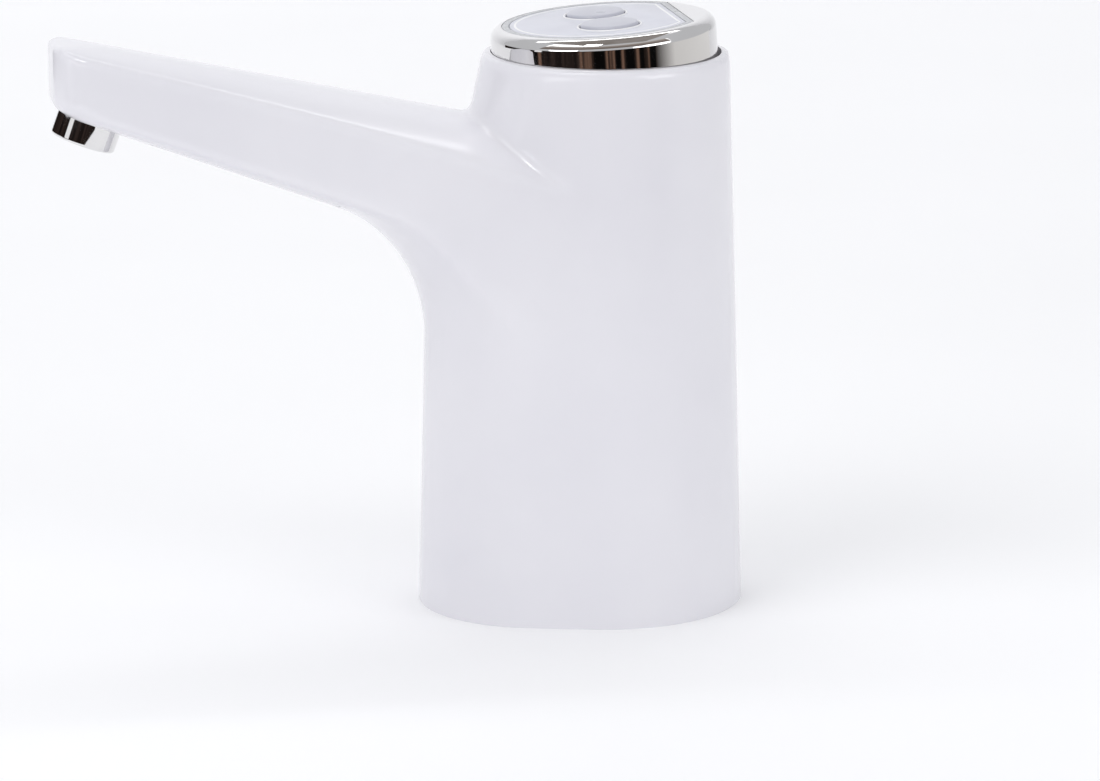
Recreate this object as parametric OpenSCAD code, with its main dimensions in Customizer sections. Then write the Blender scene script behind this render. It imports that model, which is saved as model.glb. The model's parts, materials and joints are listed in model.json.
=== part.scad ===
// Electric water jug pump. A moulded body with a long spout sits on a bottle's neck, and a
// diaphragm pump inside lifts the water to the nozzle. Two push-buttons sit in a chromed cap.
// Millimetres. +Z is up, the spout points to -X, and the origin is the centre of the neck
// socket's mouth, in the plane that the pump stands on.

/* [Body] */
// Radius of the round collar at its rim
rim_r = 30; // [29.5:0.1:31]
// Height of the collar's rim above the base
rim_z = 136; // [135:0.5:140]
// Height where the column's front starts to curve out under the spout
knee_z = 67; // [64:0.5:69]
// Reach of the column's front at that height
knee_front = 44.6; // [44.2:0.1:46]
// Radius of the column's back at that height
knee_rear = 32.1; // [31.8:0.1:32.8]
// Reach of the column's front at the base
foot_front = 46.3; // [45.8:0.1:48]
// Radius of the column's back at the base
foot_rear = 33.9; // [33.5:0.1:35]
// Radius of the column's rounded front
front_r = 29.3; // [28.8:0.1:30]
// Wall of the moulded shell
shell_wall = 2; // [1.6:0.1:2.2]

/* [Spout] */
// Reach of the spout's nose from the collar's axis
spout_reach = 134.5; // [132:0.5:138]
// Half the width of the nose
nose_half = 14; // [13:0.25:15]
// Radius of the nose's corners, seen from above
nose_corner_r = 9; // [6:0.5:11]
// Height at which the line of the spout's top meets the collar's axis
top_z = 114.4; // [113:0.2:116]
// Rise of the spout's top, in degrees
top_slope = 12.3; // [11:0.1:13]
// Radius of the spout's crowned top, across its width
crown_r = 46; // [42:1:60]
// Radius of the hollow curve from the column to the spout's underside
under_r = 37; // [35:0.5:38]
// Rise of the spout's underside, in degrees
under_slope = 20.2; // [19.5:0.1:20.8]
// Roundness of the underside, at the middle of the hollow curve
under_mid_r = 37; // [34:0.5:40]
// Roundness of the underside, at the end of the hollow curve
under_end_r = 31; // [29:0.5:33]
// Roundness of the underside, at the nose
under_nose_r = 16.5; // [15.5:0.5:18]
// Width of the lip that the shell keeps round the underside cover
cover_lip = 1.4; // [1:0.1:2]
// Distance of the underside cover's rear edge from the collar's axis
cover_rear = 68; // [66:0.5:70]
// Distance of the underside cover's front edge from the nose
cover_tip = 22.5; // [21.5:0.5:23.5]

/* [Nozzle] */
// Distance of the nozzle's axis from the nose
nozzle_back = 8.9; // [8.5:0.1:9.7]
// Radius of the chromed nozzle ring
nozzle_r = 7.9; // [7.6:0.1:8.1]
// Drop of the ring below the spout
nozzle_drop = 5; // [4:0.25:6]
// Wall of the ring
nozzle_wall = 1.6; // [1.4:0.1:1.8]
// Radius of one hole of the aerator
aerator_hole_r = 0.5; // [0.4:0.05:0.55]

/* [Neck] */
// Radius of the bottle's neck
neck_r = 27.5; // [27:0.05:27.6]
// Gap between the neck and its socket
neck_gap = 0.5; // [0.3:0.05:0.6]
// Depth of the neck socket
neck_depth = 22; // [20:0.5:24]
// Wall of the neck socket
socket_wall = 2.2; // [1.8:0.1:2.3]
// Thickness of the base plate
base_t = 2.4; // [2:0.1:3]
// Thickness of the neck seal
seal_t = 2; // [1.5:0.25:3]
// Thickness of the deck above the neck
deck_t = 2.6; // [2:0.1:3]
// Radius of the well that the suction spigot hangs in
well_r = 11.2; // [9.5:0.1:11.4]
// Radius of the suction spigot
spigot_r = 4; // [3.6:0.1:4.4]
// Length of the suction spigot
spigot_len = 11; // [9:0.5:12]

/* [Pump] */
// Radius of the pump
pump_r = 16; // [15.8:0.1:16.2]
// Radius of the pump's working space
pump_space_r = 12.2; // [11.8:0.1:12.4]
// Height of the pump's cover
pump_cover_h = 8; // [8:0.25:9]
// Thickness of the valve plate
valve_plate_t = 2.5; // [2:0.25:3]
// Height of the pump's body
pump_body_h = 22.4; // [22.4:0.2:24]
// Distance of the diaphragm's cups from the pump's axis
cup_offset = 7.4; // [7.2:0.1:7.6]
// Radius of one cup
cup_r = 4.4; // [4:0.1:4.6]
// Tilt of the wobble plate, in degrees
wobble_tilt = 5; // [4:0.25:5.5]
// Radius of the motor
motor_r = 12.2; // [11.8:0.05:12.25]
// Length of the motor's can
motor_len = 31; // [30:0.5:33]
// Radius of the motor's shaft
shaft_r = 1; // [0.9:0.05:1.1]

/* [Power] */
// Radius of the battery cell
cell_r = 9.2; // [9:0.05:9.3]
// Length of the battery cell
cell_len = 65; // [60:0.5:66]
// Distance of the cell from the collar's axis
cell_x = 29.5; // [29:0.1:30]
// Width of the charging port
port_w = 9; // [8.5:0.1:9.5]
// Height of the charging port
port_h = 3.2; // [2.8:0.1:3.6]

/* [Hose] */
// Radius of the outlet hose
hose_r = 4.5; // [4.2:0.1:4.6]
// Radius of the spigots that the hose is pushed on
hose_spigot_r = 3; // [2.8:0.1:3.1]
// Radius of the hose's bend
hose_bend_r = 16; // [14:0.5:20]
// Rise of the hose in the spout, in degrees
hose_slope = 13.5; // [12.5:0.1:14]

/* [Cap] */
// Radius of the chromed cap
cap_r = 27.4; // [26.8:0.1:27.5]
// Height of the cap's middle above the rim
cap_rise = 7.6; // [7:0.1:9]
// Tilt of the cap's top, in degrees
cap_tilt = 4; // [2:0.25:5]
// Distance that the cap's middle lies in front of the collar's axis
cap_shift = 0.9; // [0.6:0.1:1]
// Radius of the cap's rounded edge
cap_edge_r = 3; // [2:0.1:3.2]
// Depth of the cap
cap_depth = 16; // [15:0.5:17]
// Wall of the cap
cap_wall = 2.2; // [2:0.1:2.4]
// Radius of the panel
panel_r = 24.4; // [24:0.1:24.4]
// Distance of the panel's straight edge from its middle
panel_chord = 19.3; // [18:0.1:20]
// Thickness of the panel
panel_t = 1; // [0.8:0.1:1.2]
// Width of the panel's bezel
bezel_w = 1.7; // [1.2:0.1:2]
// Radius of a button
button_r = 7; // [6.6:0.1:7]
// Distance between the two buttons
button_pitch = 17; // [16.8:0.1:17.6]
// Height of a button's dome above the panel
button_dome = 1.1; // [0.8:0.1:1.4]
// Travel of a button
button_travel = 0.5; // [0.3:0.05:0.5]

/* [Hidden] */
$fn = 96;

// Clearances: fixed pieces that drop in, moving pieces, shafts, and pieces that seat
drop_gap = 0.3;
move_gap = 0.3;
shaft_gap = 0.04;
seat_gap = 0.1;

// Colours
shell_white = "#eeeef2";
inner_white = "#dcdce0";
chrome = "#c9ccd1";
steel = "#a9adb3";
brass = "#c8a24a";
rubber = "#3a3a3d";
silicone = "#d9dde0";
board_green = "#2f6f4a";

function mix(a, b, t) = a + (b - a) * t;
function along(p, d, t) = [for (i = [0:2]) p[i] + d[i] * t];

// Heights of the stack, from the neck up
socket_r = neck_r + neck_gap;
deck_z = neck_depth + seal_t;
deck_top = deck_z + deck_t;
spigot_tip_z = deck_z + 0.5;
well_roof = spigot_tip_z + spigot_len;
well_top = well_roof + deck_t;
well_wall = 1.8;
flange_t = 2;
cradle_top = well_top + 7.9;
cradle_t = 3;
damper_t = 1.5;
pump_z = cradle_top + damper_t;
valve_z = pump_z + pump_cover_h;
rubber_z = valve_z + valve_plate_t;
rubber_t = 1.6;
body_z = rubber_z + rubber_t;
cup_h = 3.8;
motor_z = body_z + pump_body_h;
cover_front = spout_reach - cover_tip;
nozzle_x = spout_reach - nozzle_back;

// How far a cutter runs past what it cuts
cut_spare = 60;
motor_top = motor_z + motor_len;

// Outline of the column at height z: a round back and a rounded front
function rise(z) = (z - knee_z) / (rim_z - knee_z);
function rear_at(z) = z < knee_z ? mix(foot_rear, knee_rear, z / knee_z) : mix(knee_rear, rim_r, rise(z));
function front_at(z) = z < knee_z
    ? mix(foot_front, knee_front, z / knee_z)
    : mix(knee_front, rim_r, rise(z));
function nose_at(z) = z < knee_z ? front_r : mix(front_r, rim_r, rise(z));

// Two circles and the tangents between them
module egg_face(rear, front, nose) {
    reach = front - nose;
    circle(rear);
    if (reach > 0.01) {
        nx = (nose - rear) / reach;
        ny = sqrt(1 - nx * nx);
        translate([-reach, 0]) circle(nose);
        polygon([
            [rear * nx, rear * ny],
            [nose * nx - reach, nose * ny],
            [nose * nx - reach, -nose * ny],
            [rear * nx, -rear * ny]
        ]);
    }
}

module column_face(z, inset) {
    egg_face(rear_at(z) - inset, front_at(z) - inset, nose_at(z) - inset);
}

// Loft of the column, from height low to height high, with a thin slice at each end of each piece
slice_t = 0.02;
loft_fn = 64;

module column_slice(z, inset) {
    linear_extrude(slice_t) column_face(z, inset, $fn = loft_fn);
}

module column_solid(inset, low, high) {
    hull() {
        translate([0, 0, low]) column_slice(low, inset);
        translate([0, 0, knee_z - slice_t]) column_slice(knee_z, inset);
    }
    hull() {
        translate([0, 0, knee_z]) column_slice(knee_z, inset);
        translate([0, 0, high - slice_t]) column_slice(high, inset);
    }
}

// Tip of the spout's underside: an arc out of the column's front, then a straight run to the nose.
// Each station gives the tip's x and z, the radius that the underside is rounded to, and how far
// the sides flare away from the column's own outline.
arc_sweep = 90 - under_slope;
arc_steps = 10;
run_steps = 5;
nose_spare = 5;
flare_end = 80;
root_sink = 0.12;
flank_sink = 0.35;

function ease(t) = t * t * (3 - 2 * t);
function arc_round(a) = a < arc_sweep / 2
    ? mix(front_r, under_mid_r, ease(2 * a / arc_sweep))
    : mix(under_mid_r, under_end_r, ease(2 * a / arc_sweep - 1));
function arc_station(a, inset) = [
    -(knee_front + under_r) + (under_r + inset + (a > 0 ? 0 : root_sink)) * cos(a),
    knee_z + (under_r + inset) * sin(a),
    arc_round(a) - inset,
    flare_end * ease(a / arc_sweep)
];
arc_end = arc_station(arc_sweep, 0);
run_len = (spout_reach + nose_spare + arc_end[0]) / cos(under_slope);
function run_station(s, inset) = [
    arc_end[0] + inset * sin(under_slope) - s * run_len * cos(under_slope),
    arc_end[1] + inset * cos(under_slope) + s * run_len * sin(under_slope),
    mix(under_end_r, under_nose_r, s) - inset,
    flare_end
];
function stations(inset) = concat(
    [for (i = [0:arc_steps]) arc_station(arc_sweep * i / arc_steps, inset)],
    [for (i = [1:run_steps]) run_station(i / run_steps, inset)]
);

// Half-width at x of two circles and their tangent: r0 at [x0, 0] behind, r1 at [x1, y1] in front
function pair_y(x, x0, r0, x1, y1, r1) =
    let (d = norm([x1 - x0, y1]))
    let (turn = atan2(y1, x1 - x0) - acos((r0 - r1) / d))
    x > x0 + r0 * cos(turn) ? sqrt(max(0, r0 * r0 - (x - x0) * (x - x0)))
    : x > x1 + r1 * cos(turn) ? (r0 - (x - x0) * cos(turn)) / sin(turn)
    : y1 + sqrt(max(0, r1 * r1 - (x - x1) * (x - x1)));

// The spout seen from above: straight sides from the round body to the nose's corners
nose_x = nose_corner_r - spout_reach;
nose_y = nose_half - nose_corner_r;
function plan_y(x, z, inset) =
    pair_y(x, 0, rear_at(z) - flank_sink - inset, nose_x, nose_y, nose_corner_r - inset);

// Everything behind a station's rounded tip
function tip_y(x, st, inset) =
    pair_y(x, st[3], rear_at(st[1]) - flank_sink - inset + st[3], st[0] + st[2], 0, st[2]);

// Where the rounded tip runs into the straight side
function crease_x(lo, hi, st, inset, n) =
    let (mid = (lo + hi) / 2)
    n == 0 ? mid
    : tip_y(mid, st, inset) < plan_y(mid, st[1], inset) - 0.001 ? crease_x(mid, hi, st, inset, n - 1)
    : crease_x(lo, mid, st, inset, n - 1);

// Outline of the spout at one station: the side at +y from the tip to the back, then the other side
front_points = 12;
side_points = 20;
end_turn = 3;
function half_ring(low, high, fold) = concat(
    [for (i = [0:front_points])
        low + (fold - low) * (1 - cos(end_turn + (90 - end_turn) * i / front_points))],
    [for (i = [1:side_points]) fold + (high - fold) * sin((90 - end_turn) * i / side_points)]
);
function ring(st, inset) =
    let (low = max(st[0], inset - spout_reach))
    let (high = rear_at(st[1]) - flank_sink - inset)
    let (fold = max(nose_x, crease_x(low, high, st, inset, 24)))
    let (xs = half_ring(low, high, fold))
    let (ys = [for (x = xs) min(plan_y(x, st[1], inset), tip_y(x, st, inset))])
    let (n = len(xs))
    concat(
        [for (i = [0:n - 1]) [xs[i], ys[i], st[1]]],
        [for (i = [1:n]) [xs[n - i], -ys[n - i], st[1]]]
    );

// Loft through the stations, and on up to a plain outline above the spout
module spout_loft(inset) {
    list = stations(inset);
    far = spout_reach + nose_spare;
    levels = concat(list, [[-far, rim_z + 20, under_nose_r, flare_end]]);
    rings = [for (st = levels) ring(st, inset)];
    n = len(rings[0]);
    last = len(rings) - 1;
    points = [for (r = rings, p = r) p];
    sides = [for (k = [0:last - 1], i = [0:n - 1], half = [0, 1])
        let (j = (i + 1) % n)
        half == 0
            ? [k * n + i, k * n + j, (k + 1) * n + j]
            : [k * n + i, (k + 1) * n + j, (k + 1) * n + i]];
    bottom = [for (i = [1:n]) n - i];
    top = [for (i = [0:n - 1]) last * n + i];
    polyhedron(points, concat(sides, [bottom, top]), convexity = 6);
}

// All that lies under the spout's crowned top
module under_crown(inset) {
    translate([0, 0, top_z])
        rotate([0, top_slope, 0])
            translate([cut_spare, 0, -crown_r])
                rotate([0, -90, 0])
                    cylinder(r = crown_r - inset, h = spout_reach + 2 * cut_spare, $fn = 152);
}

module spout_solid(inset) {
    intersection() {
        spout_loft(inset);
        under_crown(inset);
    }
}

// Heights of the spout's underside and top along its middle
function under_at(x) = arc_end[1] + (arc_end[0] - x) * tan(under_slope);
function top_at(x) = top_z - x * tan(top_slope);

// The lower half of the spout, which holds the underside cover
module lower_half() {
    far = spout_reach + cut_spare;
    middle = [for (x = [-far, 0]) [x, (under_at(x) + top_at(x)) / 2]];
    rotate([90, 0, 0])
        linear_extrude(2 * (rim_r + cut_spare), center = true)
            polygon([[-far, 0], middle[0], middle[1], [0, 0]]);
}

// Outline of the underside cover, drawn in from the spout's own outline
module cover_prism(inset, rear, front) {
    linear_extrude(rim_z + cut_spare) intersection() {
        hull() {
            circle(rim_r - inset, $fn = loft_fn);
            for (side = [-1, 1])
                translate([nose_x, side * nose_y])
                    circle(nose_corner_r - inset, $fn = loft_fn);
        }
        translate([-front, -rim_r]) square([front - rear, 2 * rim_r]);
    }
}

// Frame of the cap: +Z is the normal of its tilted top, and the origin is the top's middle
module on_cap() {
    translate([-cap_shift, 0, rim_z + cap_rise]) rotate([0, -cap_tilt, 0]) children();
}

// Frame of the nozzle: +Z points up its axis, and the origin lies on the spout's underside
nozzle_at = [-nozzle_x, 0, under_at(-nozzle_x)];
module on_nozzle() {
    translate(nozzle_at) rotate([0, under_slope, 0]) children();
}

module tube(r, bore, h) {
    difference() {
        cylinder(r = r, h = h);
        translate([0, 0, -1]) cylinder(r = bore, h = h + 2);
    }
}

// A slot with round ends across y, standing in the xy plane
module slot_face(w, h) {
    for (side = [-1, 1]) translate([0, side * (w - h) / 2]) circle(h / 2);
    square([h, w - h], center = true);
}

// Housing: one moulding of collar, column and spout, open below, with a seat for the cap
rib_t = 2.4;
rib_h = 16;
rib_depth = 3.5;
rib_angles = [-125, -50, 50, 125];
rib_x = rear_at(deck_top) - shell_wall - rib_depth;
cap_seat_t = 1.8;
cap_seat_w = 3.5;
port_rise = 11.4;
port_z = deck_top + port_rise;
port_x = rear_at(port_z) - 1.5;
port_gap = 0.6;
port_cut_in = 5;
port_cut_len = 20;
nozzle_hole_r = nozzle_r + seat_gap;
elbow_flange_r = nozzle_hole_r + 0.4;
nozzle_boss_wall = 2;
nozzle_seat = 3;

module housing() {
    color(shell_white) difference() {
        union() {
            difference() {
                union() {
                    column_solid(0, 0, rim_z);
                    spout_solid(0);
                }
                column_solid(shell_wall, -1, rim_z + 1);
                spout_solid(shell_wall);
                intersection() {
                    cover_prism(shell_wall + cover_lip, cover_rear, cover_front);
                    lower_half();
                }
            }
            intersection() {
                on_nozzle() cylinder(r = nozzle_hole_r + nozzle_boss_wall, h = nozzle_seat, $fn = loft_fn);
                spout_solid(shell_wall / 2);
            }
            intersection() {
                column_solid(shell_wall / 2, 0, rim_z);
                union() {
                    on_cap() translate([0, 0, -cap_depth - seat_gap - cap_seat_t])
                        tube(rim_r + cap_wall, cap_r - cap_seat_w, cap_seat_t);
                    for (a = rib_angles) rotate(a) hull() {
                        translate([rib_x, -rib_t / 2, deck_top + seat_gap])
                            cube([rib_depth + shell_wall, rib_t, rib_t]);
                        translate([rib_x + rib_depth, -rib_t / 2, deck_top + rib_h])
                            cube([shell_wall, rib_t, rib_t]);
                    }
                }
            }
        }
        translate([port_x - port_cut_in, 0, port_z]) rotate([0, 90, 0]) linear_extrude(port_cut_len)
            slot_face(port_w + 2 * port_gap, port_h + 2 * port_gap, $fn = 32);
        on_nozzle()
            translate([0, 0, -2 * nozzle_drop])
                cylinder(r = nozzle_hole_r, h = 3 * nozzle_drop, $fn = loft_fn);
        on_nozzle()
            translate([0, 0, nozzle_seat - seat_gap])
                cylinder(r = elbow_flange_r + seat_gap, h = nozzle_drop, $fn = loft_fn);
    }
}

// Underside cover: closes the spout behind the nozzle, with a flange inside the lip and low cross ribs
flange_step = 0.05;
cover_flange_t = 1.2;
cover_ribs = [for (i = [0:5]) mix(cover_rear + 5, cover_front - 6.5, i / 5)];
cover_rib_t = [1.6, 1];
cover_rib_h = 0.8;

module cover_rib(x) {
    hull() {
        translate([-x, 0, under_at(-x)]) cube([cover_rib_t[0], 2 * rim_r, shell_wall], center = true);
        translate([-x, 0, top_at(-x)]) cube([cover_rib_t[1], 2 * rim_r, shell_wall], center = true);
    }
}

module spout_cover() {
    flange_in = shell_wall + flange_step;
    skin_in = flange_in + cover_flange_t;
    edge_in = shell_wall + cover_lip + seat_gap;
    color(shell_white) intersection() {
        lower_half();
        difference() {
            union() {
                intersection() {
                    spout_solid(0);
                    cover_prism(edge_in, cover_rear + seat_gap, cover_front - seat_gap);
                }
                intersection() {
                    spout_solid(flange_in);
                    cover_prism(flange_in + seat_gap, cover_rear - cover_lip, cover_front + cover_lip);
                }
            }
            difference() {
                spout_solid(skin_in);
                difference() {
                    union() for (x = cover_ribs) cover_rib(x);
                    spout_solid(skin_in + cover_rib_h);
                }
            }
        }
    }
}

// Base plate with the socket for the bottle's neck, and two posts that are screwed to the deck
seal_step = 0.4;
post_at = [-33, 17];
post_r = 3.2;
screw_r = 1.2;
screw_head_r = 2.6;
screw_head_h = 1.8;
screw_floor = 15;

module base_plan(z) {
    column_face(z, shell_wall + drop_gap);
}

module at_posts() {
    for (side = [-1, 1]) translate([post_at[0], side * post_at[1], 0]) children();
}

module base_socket() {
    color(inner_white) difference() {
        union() {
            linear_extrude(base_t) base_plan(base_t);
            cylinder(r = socket_r + socket_wall, h = deck_z);
            at_posts() cylinder(r = post_r, h = deck_z);
        }
        translate([0, 0, -1]) cylinder(r = socket_r, h = neck_depth + 1);
        translate([0, 0, neck_depth]) cylinder(r = socket_r + seal_step, h = seal_t + 1);
        at_posts() {
            translate([0, 0, -1]) cylinder(r = screw_head_r + seat_gap, h = screw_floor + 1);
            cylinder(r = screw_r + seat_gap, h = deck_z + 1);
        }
    }
}

// Soft ring that the rim of the bottle's neck presses on
seal_w = 3.4;
module neck_seal() {
    r = socket_r + seal_step - seat_gap;
    color(rubber) translate([0, 0, neck_depth]) tube(r, r - seal_w, seal_t);
}

// Deck across the column: roofs the neck socket and carries the pump and the battery
boss_h = 6;
stem_r = spigot_r + 1;
module deck() {
    color(inner_white) difference() {
        union() {
            translate([0, 0, deck_z]) linear_extrude(deck_t) base_plan(deck_z);
            translate([0, 0, deck_z]) cylinder(r = well_r + well_wall, h = well_top - deck_z);
            at_posts() translate([0, 0, deck_z]) cylinder(r = post_r, h = deck_t + boss_h);
        }
        translate([0, 0, deck_z - 1]) cylinder(r = well_r, h = well_roof - deck_z + 1);
        cylinder(r = stem_r + seat_gap, h = well_top + 1);
        at_posts() translate([0, 0, deck_z - 1]) cylinder(r = screw_r + seat_gap, h = deck_t + boss_h);
    }
}

module base_screws() {
    color(steel) at_posts() {
        translate([0, 0, screw_floor - screw_head_h]) cylinder(r = screw_head_r, h = screw_head_h);
        translate([0, 0, screw_floor - 0.5]) cylinder(r = screw_r, h = deck_top + boss_h - 2 - screw_floor);
    }
}

// Suction spigot in the well's roof, with a socket above for the pump's inlet
inlet_r = 4.2;
inlet_drop = 5;
spigot_bore = spigot_r - 1.4;
oring_r = 0.65;
oring_seat_h = 2;
spigot_flange_r = 8.5;
socket_top = pump_z - 0.9;

module suction_spigot() {
    socket_bore = inlet_r + seat_gap;
    color(inner_white) difference() {
        union() {
            translate([0, 0, spigot_tip_z]) cylinder(r = spigot_r, h = spigot_len);
            translate([0, 0, well_roof]) cylinder(r = stem_r, h = deck_t);
            translate([0, 0, well_top]) cylinder(r = spigot_flange_r, h = flange_t);
            translate([0, 0, well_top]) cylinder(r = socket_bore + 2.2, h = socket_top - well_top);
        }
        cylinder(r = spigot_bore, h = socket_top);
        translate([0, 0, pump_z - inlet_drop - 0.3]) cylinder(r = socket_bore, h = inlet_drop + 2);
        translate([0, 0, socket_top - oring_seat_h])
            cylinder(r = inlet_r + 2 * oring_r + seat_gap, h = oring_seat_h + 1);
    }
}

module inlet_oring() {
    color(rubber) translate([0, 0, socket_top - oring_seat_h + oring_r])
        rotate_extrude() translate([inlet_r + oring_r + 0.02, 0]) circle(oring_r - 0.01);
}

// Three-legged cradle that carries the pump over the spigot
leg_angles = [24.8, 144.8, 264.8];
leg_w = 6;
leg_r = [well_r + well_wall + 0.4, pump_r + 0.4];
cradle_bore = 10;

module pump_cradle() {
    color(inner_white) {
        translate([0, 0, cradle_top - cradle_t]) tube(pump_r, cradle_bore, cradle_t);
        for (a = leg_angles) rotate(a) translate([leg_r[0], -leg_w / 2, deck_top])
            cube([leg_r[1] - leg_r[0], leg_w, cradle_top - deck_top - 0.5]);
    }
}

module pump_damper() {
    color(rubber) translate([0, 0, cradle_top]) tube(pump_r - 0.5, cradle_bore + 0.5, damper_t);
}

// Pump cover: inlet chamber in the middle, outlet chamber round it, and an arm to the hose's spigot
hose_foot = [2, 22];
hose_turn = atan2(hose_foot[1], hose_foot[0]);
arm_len = norm(hose_foot);
arm_r = 3.6;
arm_block_r = 4.2;
arm_z = pump_z + pump_cover_h / 2;
cover_floor = 2.5;
inlet_chamber_r = 6;
chamber_wall = 1.2;
hose_spigot_h = 10.5;
water_bore = 2;
arm_bore = 1.6;
screw_ring = (pump_space_r + pump_r) / 2 + 0.1;
long_screw_r = 1;

module at_pump_screws() {
    for (a = leg_angles) rotate(a) translate([screw_ring, 0, 0]) children();
}

module pump_cover() {
    color(rubber) difference() {
        union() {
            translate([0, 0, pump_z]) cylinder(r = pump_r, h = pump_cover_h);
            translate([0, 0, pump_z - inlet_drop]) cylinder(r = inlet_r, h = inlet_drop + 1);
            translate([0, 0, arm_z]) rotate([0, 90, hose_turn]) cylinder(r = arm_r, h = arm_len);
            translate([hose_foot[0], hose_foot[1], pump_z]) cylinder(r = arm_block_r, h = pump_cover_h);
            translate([hose_foot[0], hose_foot[1], pump_z])
                cylinder(r = hose_spigot_r, h = pump_cover_h + hose_spigot_h);
        }
        translate([0, 0, pump_z + cover_floor])
            tube(pump_space_r, inlet_chamber_r + chamber_wall, pump_cover_h);
        translate([0, 0, pump_z + cover_floor]) cylinder(r = inlet_chamber_r, h = pump_cover_h);
        translate([0, 0, pump_z - inlet_drop - 1])
            cylinder(r = spigot_bore - 0.4, h = inlet_drop + cover_floor + 2);
        rotate(hose_turn) translate([pump_space_r - 2, 0, arm_z]) rotate([0, 90, 0])
            cylinder(r = arm_bore, h = arm_len - pump_space_r + 2);
        translate([hose_foot[0], hose_foot[1], arm_z - arm_bore - 0.6])
            cylinder(r = water_bore, h = pump_cover_h + hose_spigot_h);
        at_pump_screws()
            translate([0, 0, pump_z + 1])
                cylinder(r = long_screw_r + seat_gap, h = pump_cover_h);
    }
}

// Soft ring under the valve plate that closes the outlet holes
outlet_valve_t = 0.9;
module outlet_valve() {
    outer = pump_space_r - move_gap;
    inner = inlet_chamber_r + chamber_wall + move_gap;
    color(silicone) translate([0, 0, valve_z - outlet_valve_t]) tube(outer, inner, outlet_valve_t);
}

cup_angles = [0, 120, 240];
inlet_hole_at = cup_offset - 2.1;
outlet_hole_at = cup_offset + 1.9;
valve_hole_r = 0.9;

module valve_plate() {
    color(inner_white) translate([0, 0, valve_z]) difference() {
        cylinder(r = pump_r, h = valve_plate_t);
        for (a = cup_angles, at = [inlet_hole_at, outlet_hole_at]) rotate(a)
            translate([at, 0, -1]) cylinder(r = valve_hole_r, h = valve_plate_t + 2);
        at_pump_screws() translate([0, 0, -1]) cylinder(r = long_screw_r + seat_gap, h = valve_plate_t + 2);
    }
}

// Soft discs over the inlet holes
module inlet_valves() {
    color(silicone) for (a = cup_angles) rotate(a)
        translate([inlet_hole_at, 0, rubber_z]) cylinder(r = valve_hole_r + 0.4, h = 0.6);
}

// Diaphragm: a clamped sheet with three cups, one for each chamber
cup_wall = 0.8;
module diaphragm() {
    color(silicone) translate([0, 0, rubber_z]) difference() {
        union() {
            cylinder(r = pump_r, h = rubber_t);
            for (a = cup_angles)
                rotate(a)
                    translate([cup_offset, 0, 0])
                        cylinder(r = cup_r, h = rubber_t + cup_h);
        }
        for (a = cup_angles) rotate(a) translate([cup_offset, 0, -1])
            cylinder(r = cup_r - cup_wall, h = rubber_t + cup_h - cup_wall + 1);
        at_pump_screws() translate([0, 0, -1]) cylinder(r = long_screw_r + seat_gap, h = rubber_t + 2);
    }
}

// Pump body: the drive turns inside it, and the motor stands on its top plate
body_top_t = 3;
motor_boss_r = 3.3;
motor_boss_h = 2.4;
module pump_body() {
    color(rubber) translate([0, 0, body_z]) difference() {
        cylinder(r = pump_r, h = pump_body_h);
        translate([0, 0, -1]) cylinder(r = pump_space_r, h = pump_body_h - body_top_t + 1);
        cylinder(r = motor_boss_r + seat_gap, h = pump_body_h + 1);
        at_pump_screws() translate([0, 0, -1]) cylinder(r = long_screw_r + seat_gap, h = pump_body_h + 2);
    }
}

module pump_screws() {
    head_h = 1.6;
    head_r = screw_ring - motor_r - seat_gap;
    color(steel) at_pump_screws() {
        translate([0, 0, motor_z]) cylinder(r = head_r, h = head_h);
        translate([0, 0, pump_z + 1.5]) cylinder(r = long_screw_r, h = motor_z - pump_z - 1);
    }
}

// Drive: the wheel carries a tilted pin, and the pin swings the wobble plate without turning it
hub_r = 3.4;
hub_h = 4;
arm_t = 2.4;
arm_tip_r = 2.8;
arm_low = 1.4;
arm_swing = (cup_offset + arm_tip_r) * sin(wobble_tilt);
wobble_z = body_z + cup_h + move_gap + arm_swing + arm_low;
pin_r = 1;
pin_low = -0.2;
wheel_z = wobble_z + hub_h + 1.6;
wheel_gap = 0.4;
wheel_h = motor_z - body_top_t - wheel_gap - wheel_z;
wheel_r = 6;
pin_top = (wheel_z + 3 - wobble_z) / cos(wobble_tilt);
shaft_foot = wheel_z + 3.6;

module on_wobble() {
    translate([0, 0, wobble_z]) rotate([0, wobble_tilt, 0]) children();
}

module wobble_plate() {
    color("#e6e2d6") on_wobble() difference() {
        union() {
            translate([0, 0, -arm_low]) cylinder(r = hub_r, h = arm_low + hub_h);
            for (a = cup_angles) rotate(a) translate([0, 0, -arm_low]) linear_extrude(arm_t) {
                translate([cup_offset, 0]) circle(arm_tip_r);
                translate([0, -arm_tip_r]) square([cup_offset, 2 * arm_tip_r]);
            }
        }
        translate([0, 0, pin_low - 0.3]) cylinder(r = pin_r + shaft_gap, h = hub_h + 1);
    }
}

module drive_pin() {
    color(steel) on_wobble() translate([0, 0, pin_low]) cylinder(r = pin_r, h = pin_top - pin_low);
}

module eccentric_wheel() {
    color(brass) difference() {
        translate([0, 0, wheel_z]) cylinder(r = wheel_r, h = wheel_h);
        on_wobble() cylinder(r = pin_r + 0.02, h = pin_top + 0.1);
        translate([0, 0, shaft_foot - 0.1]) cylinder(r = shaft_r + 0.02, h = wheel_h);
    }
}

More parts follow.
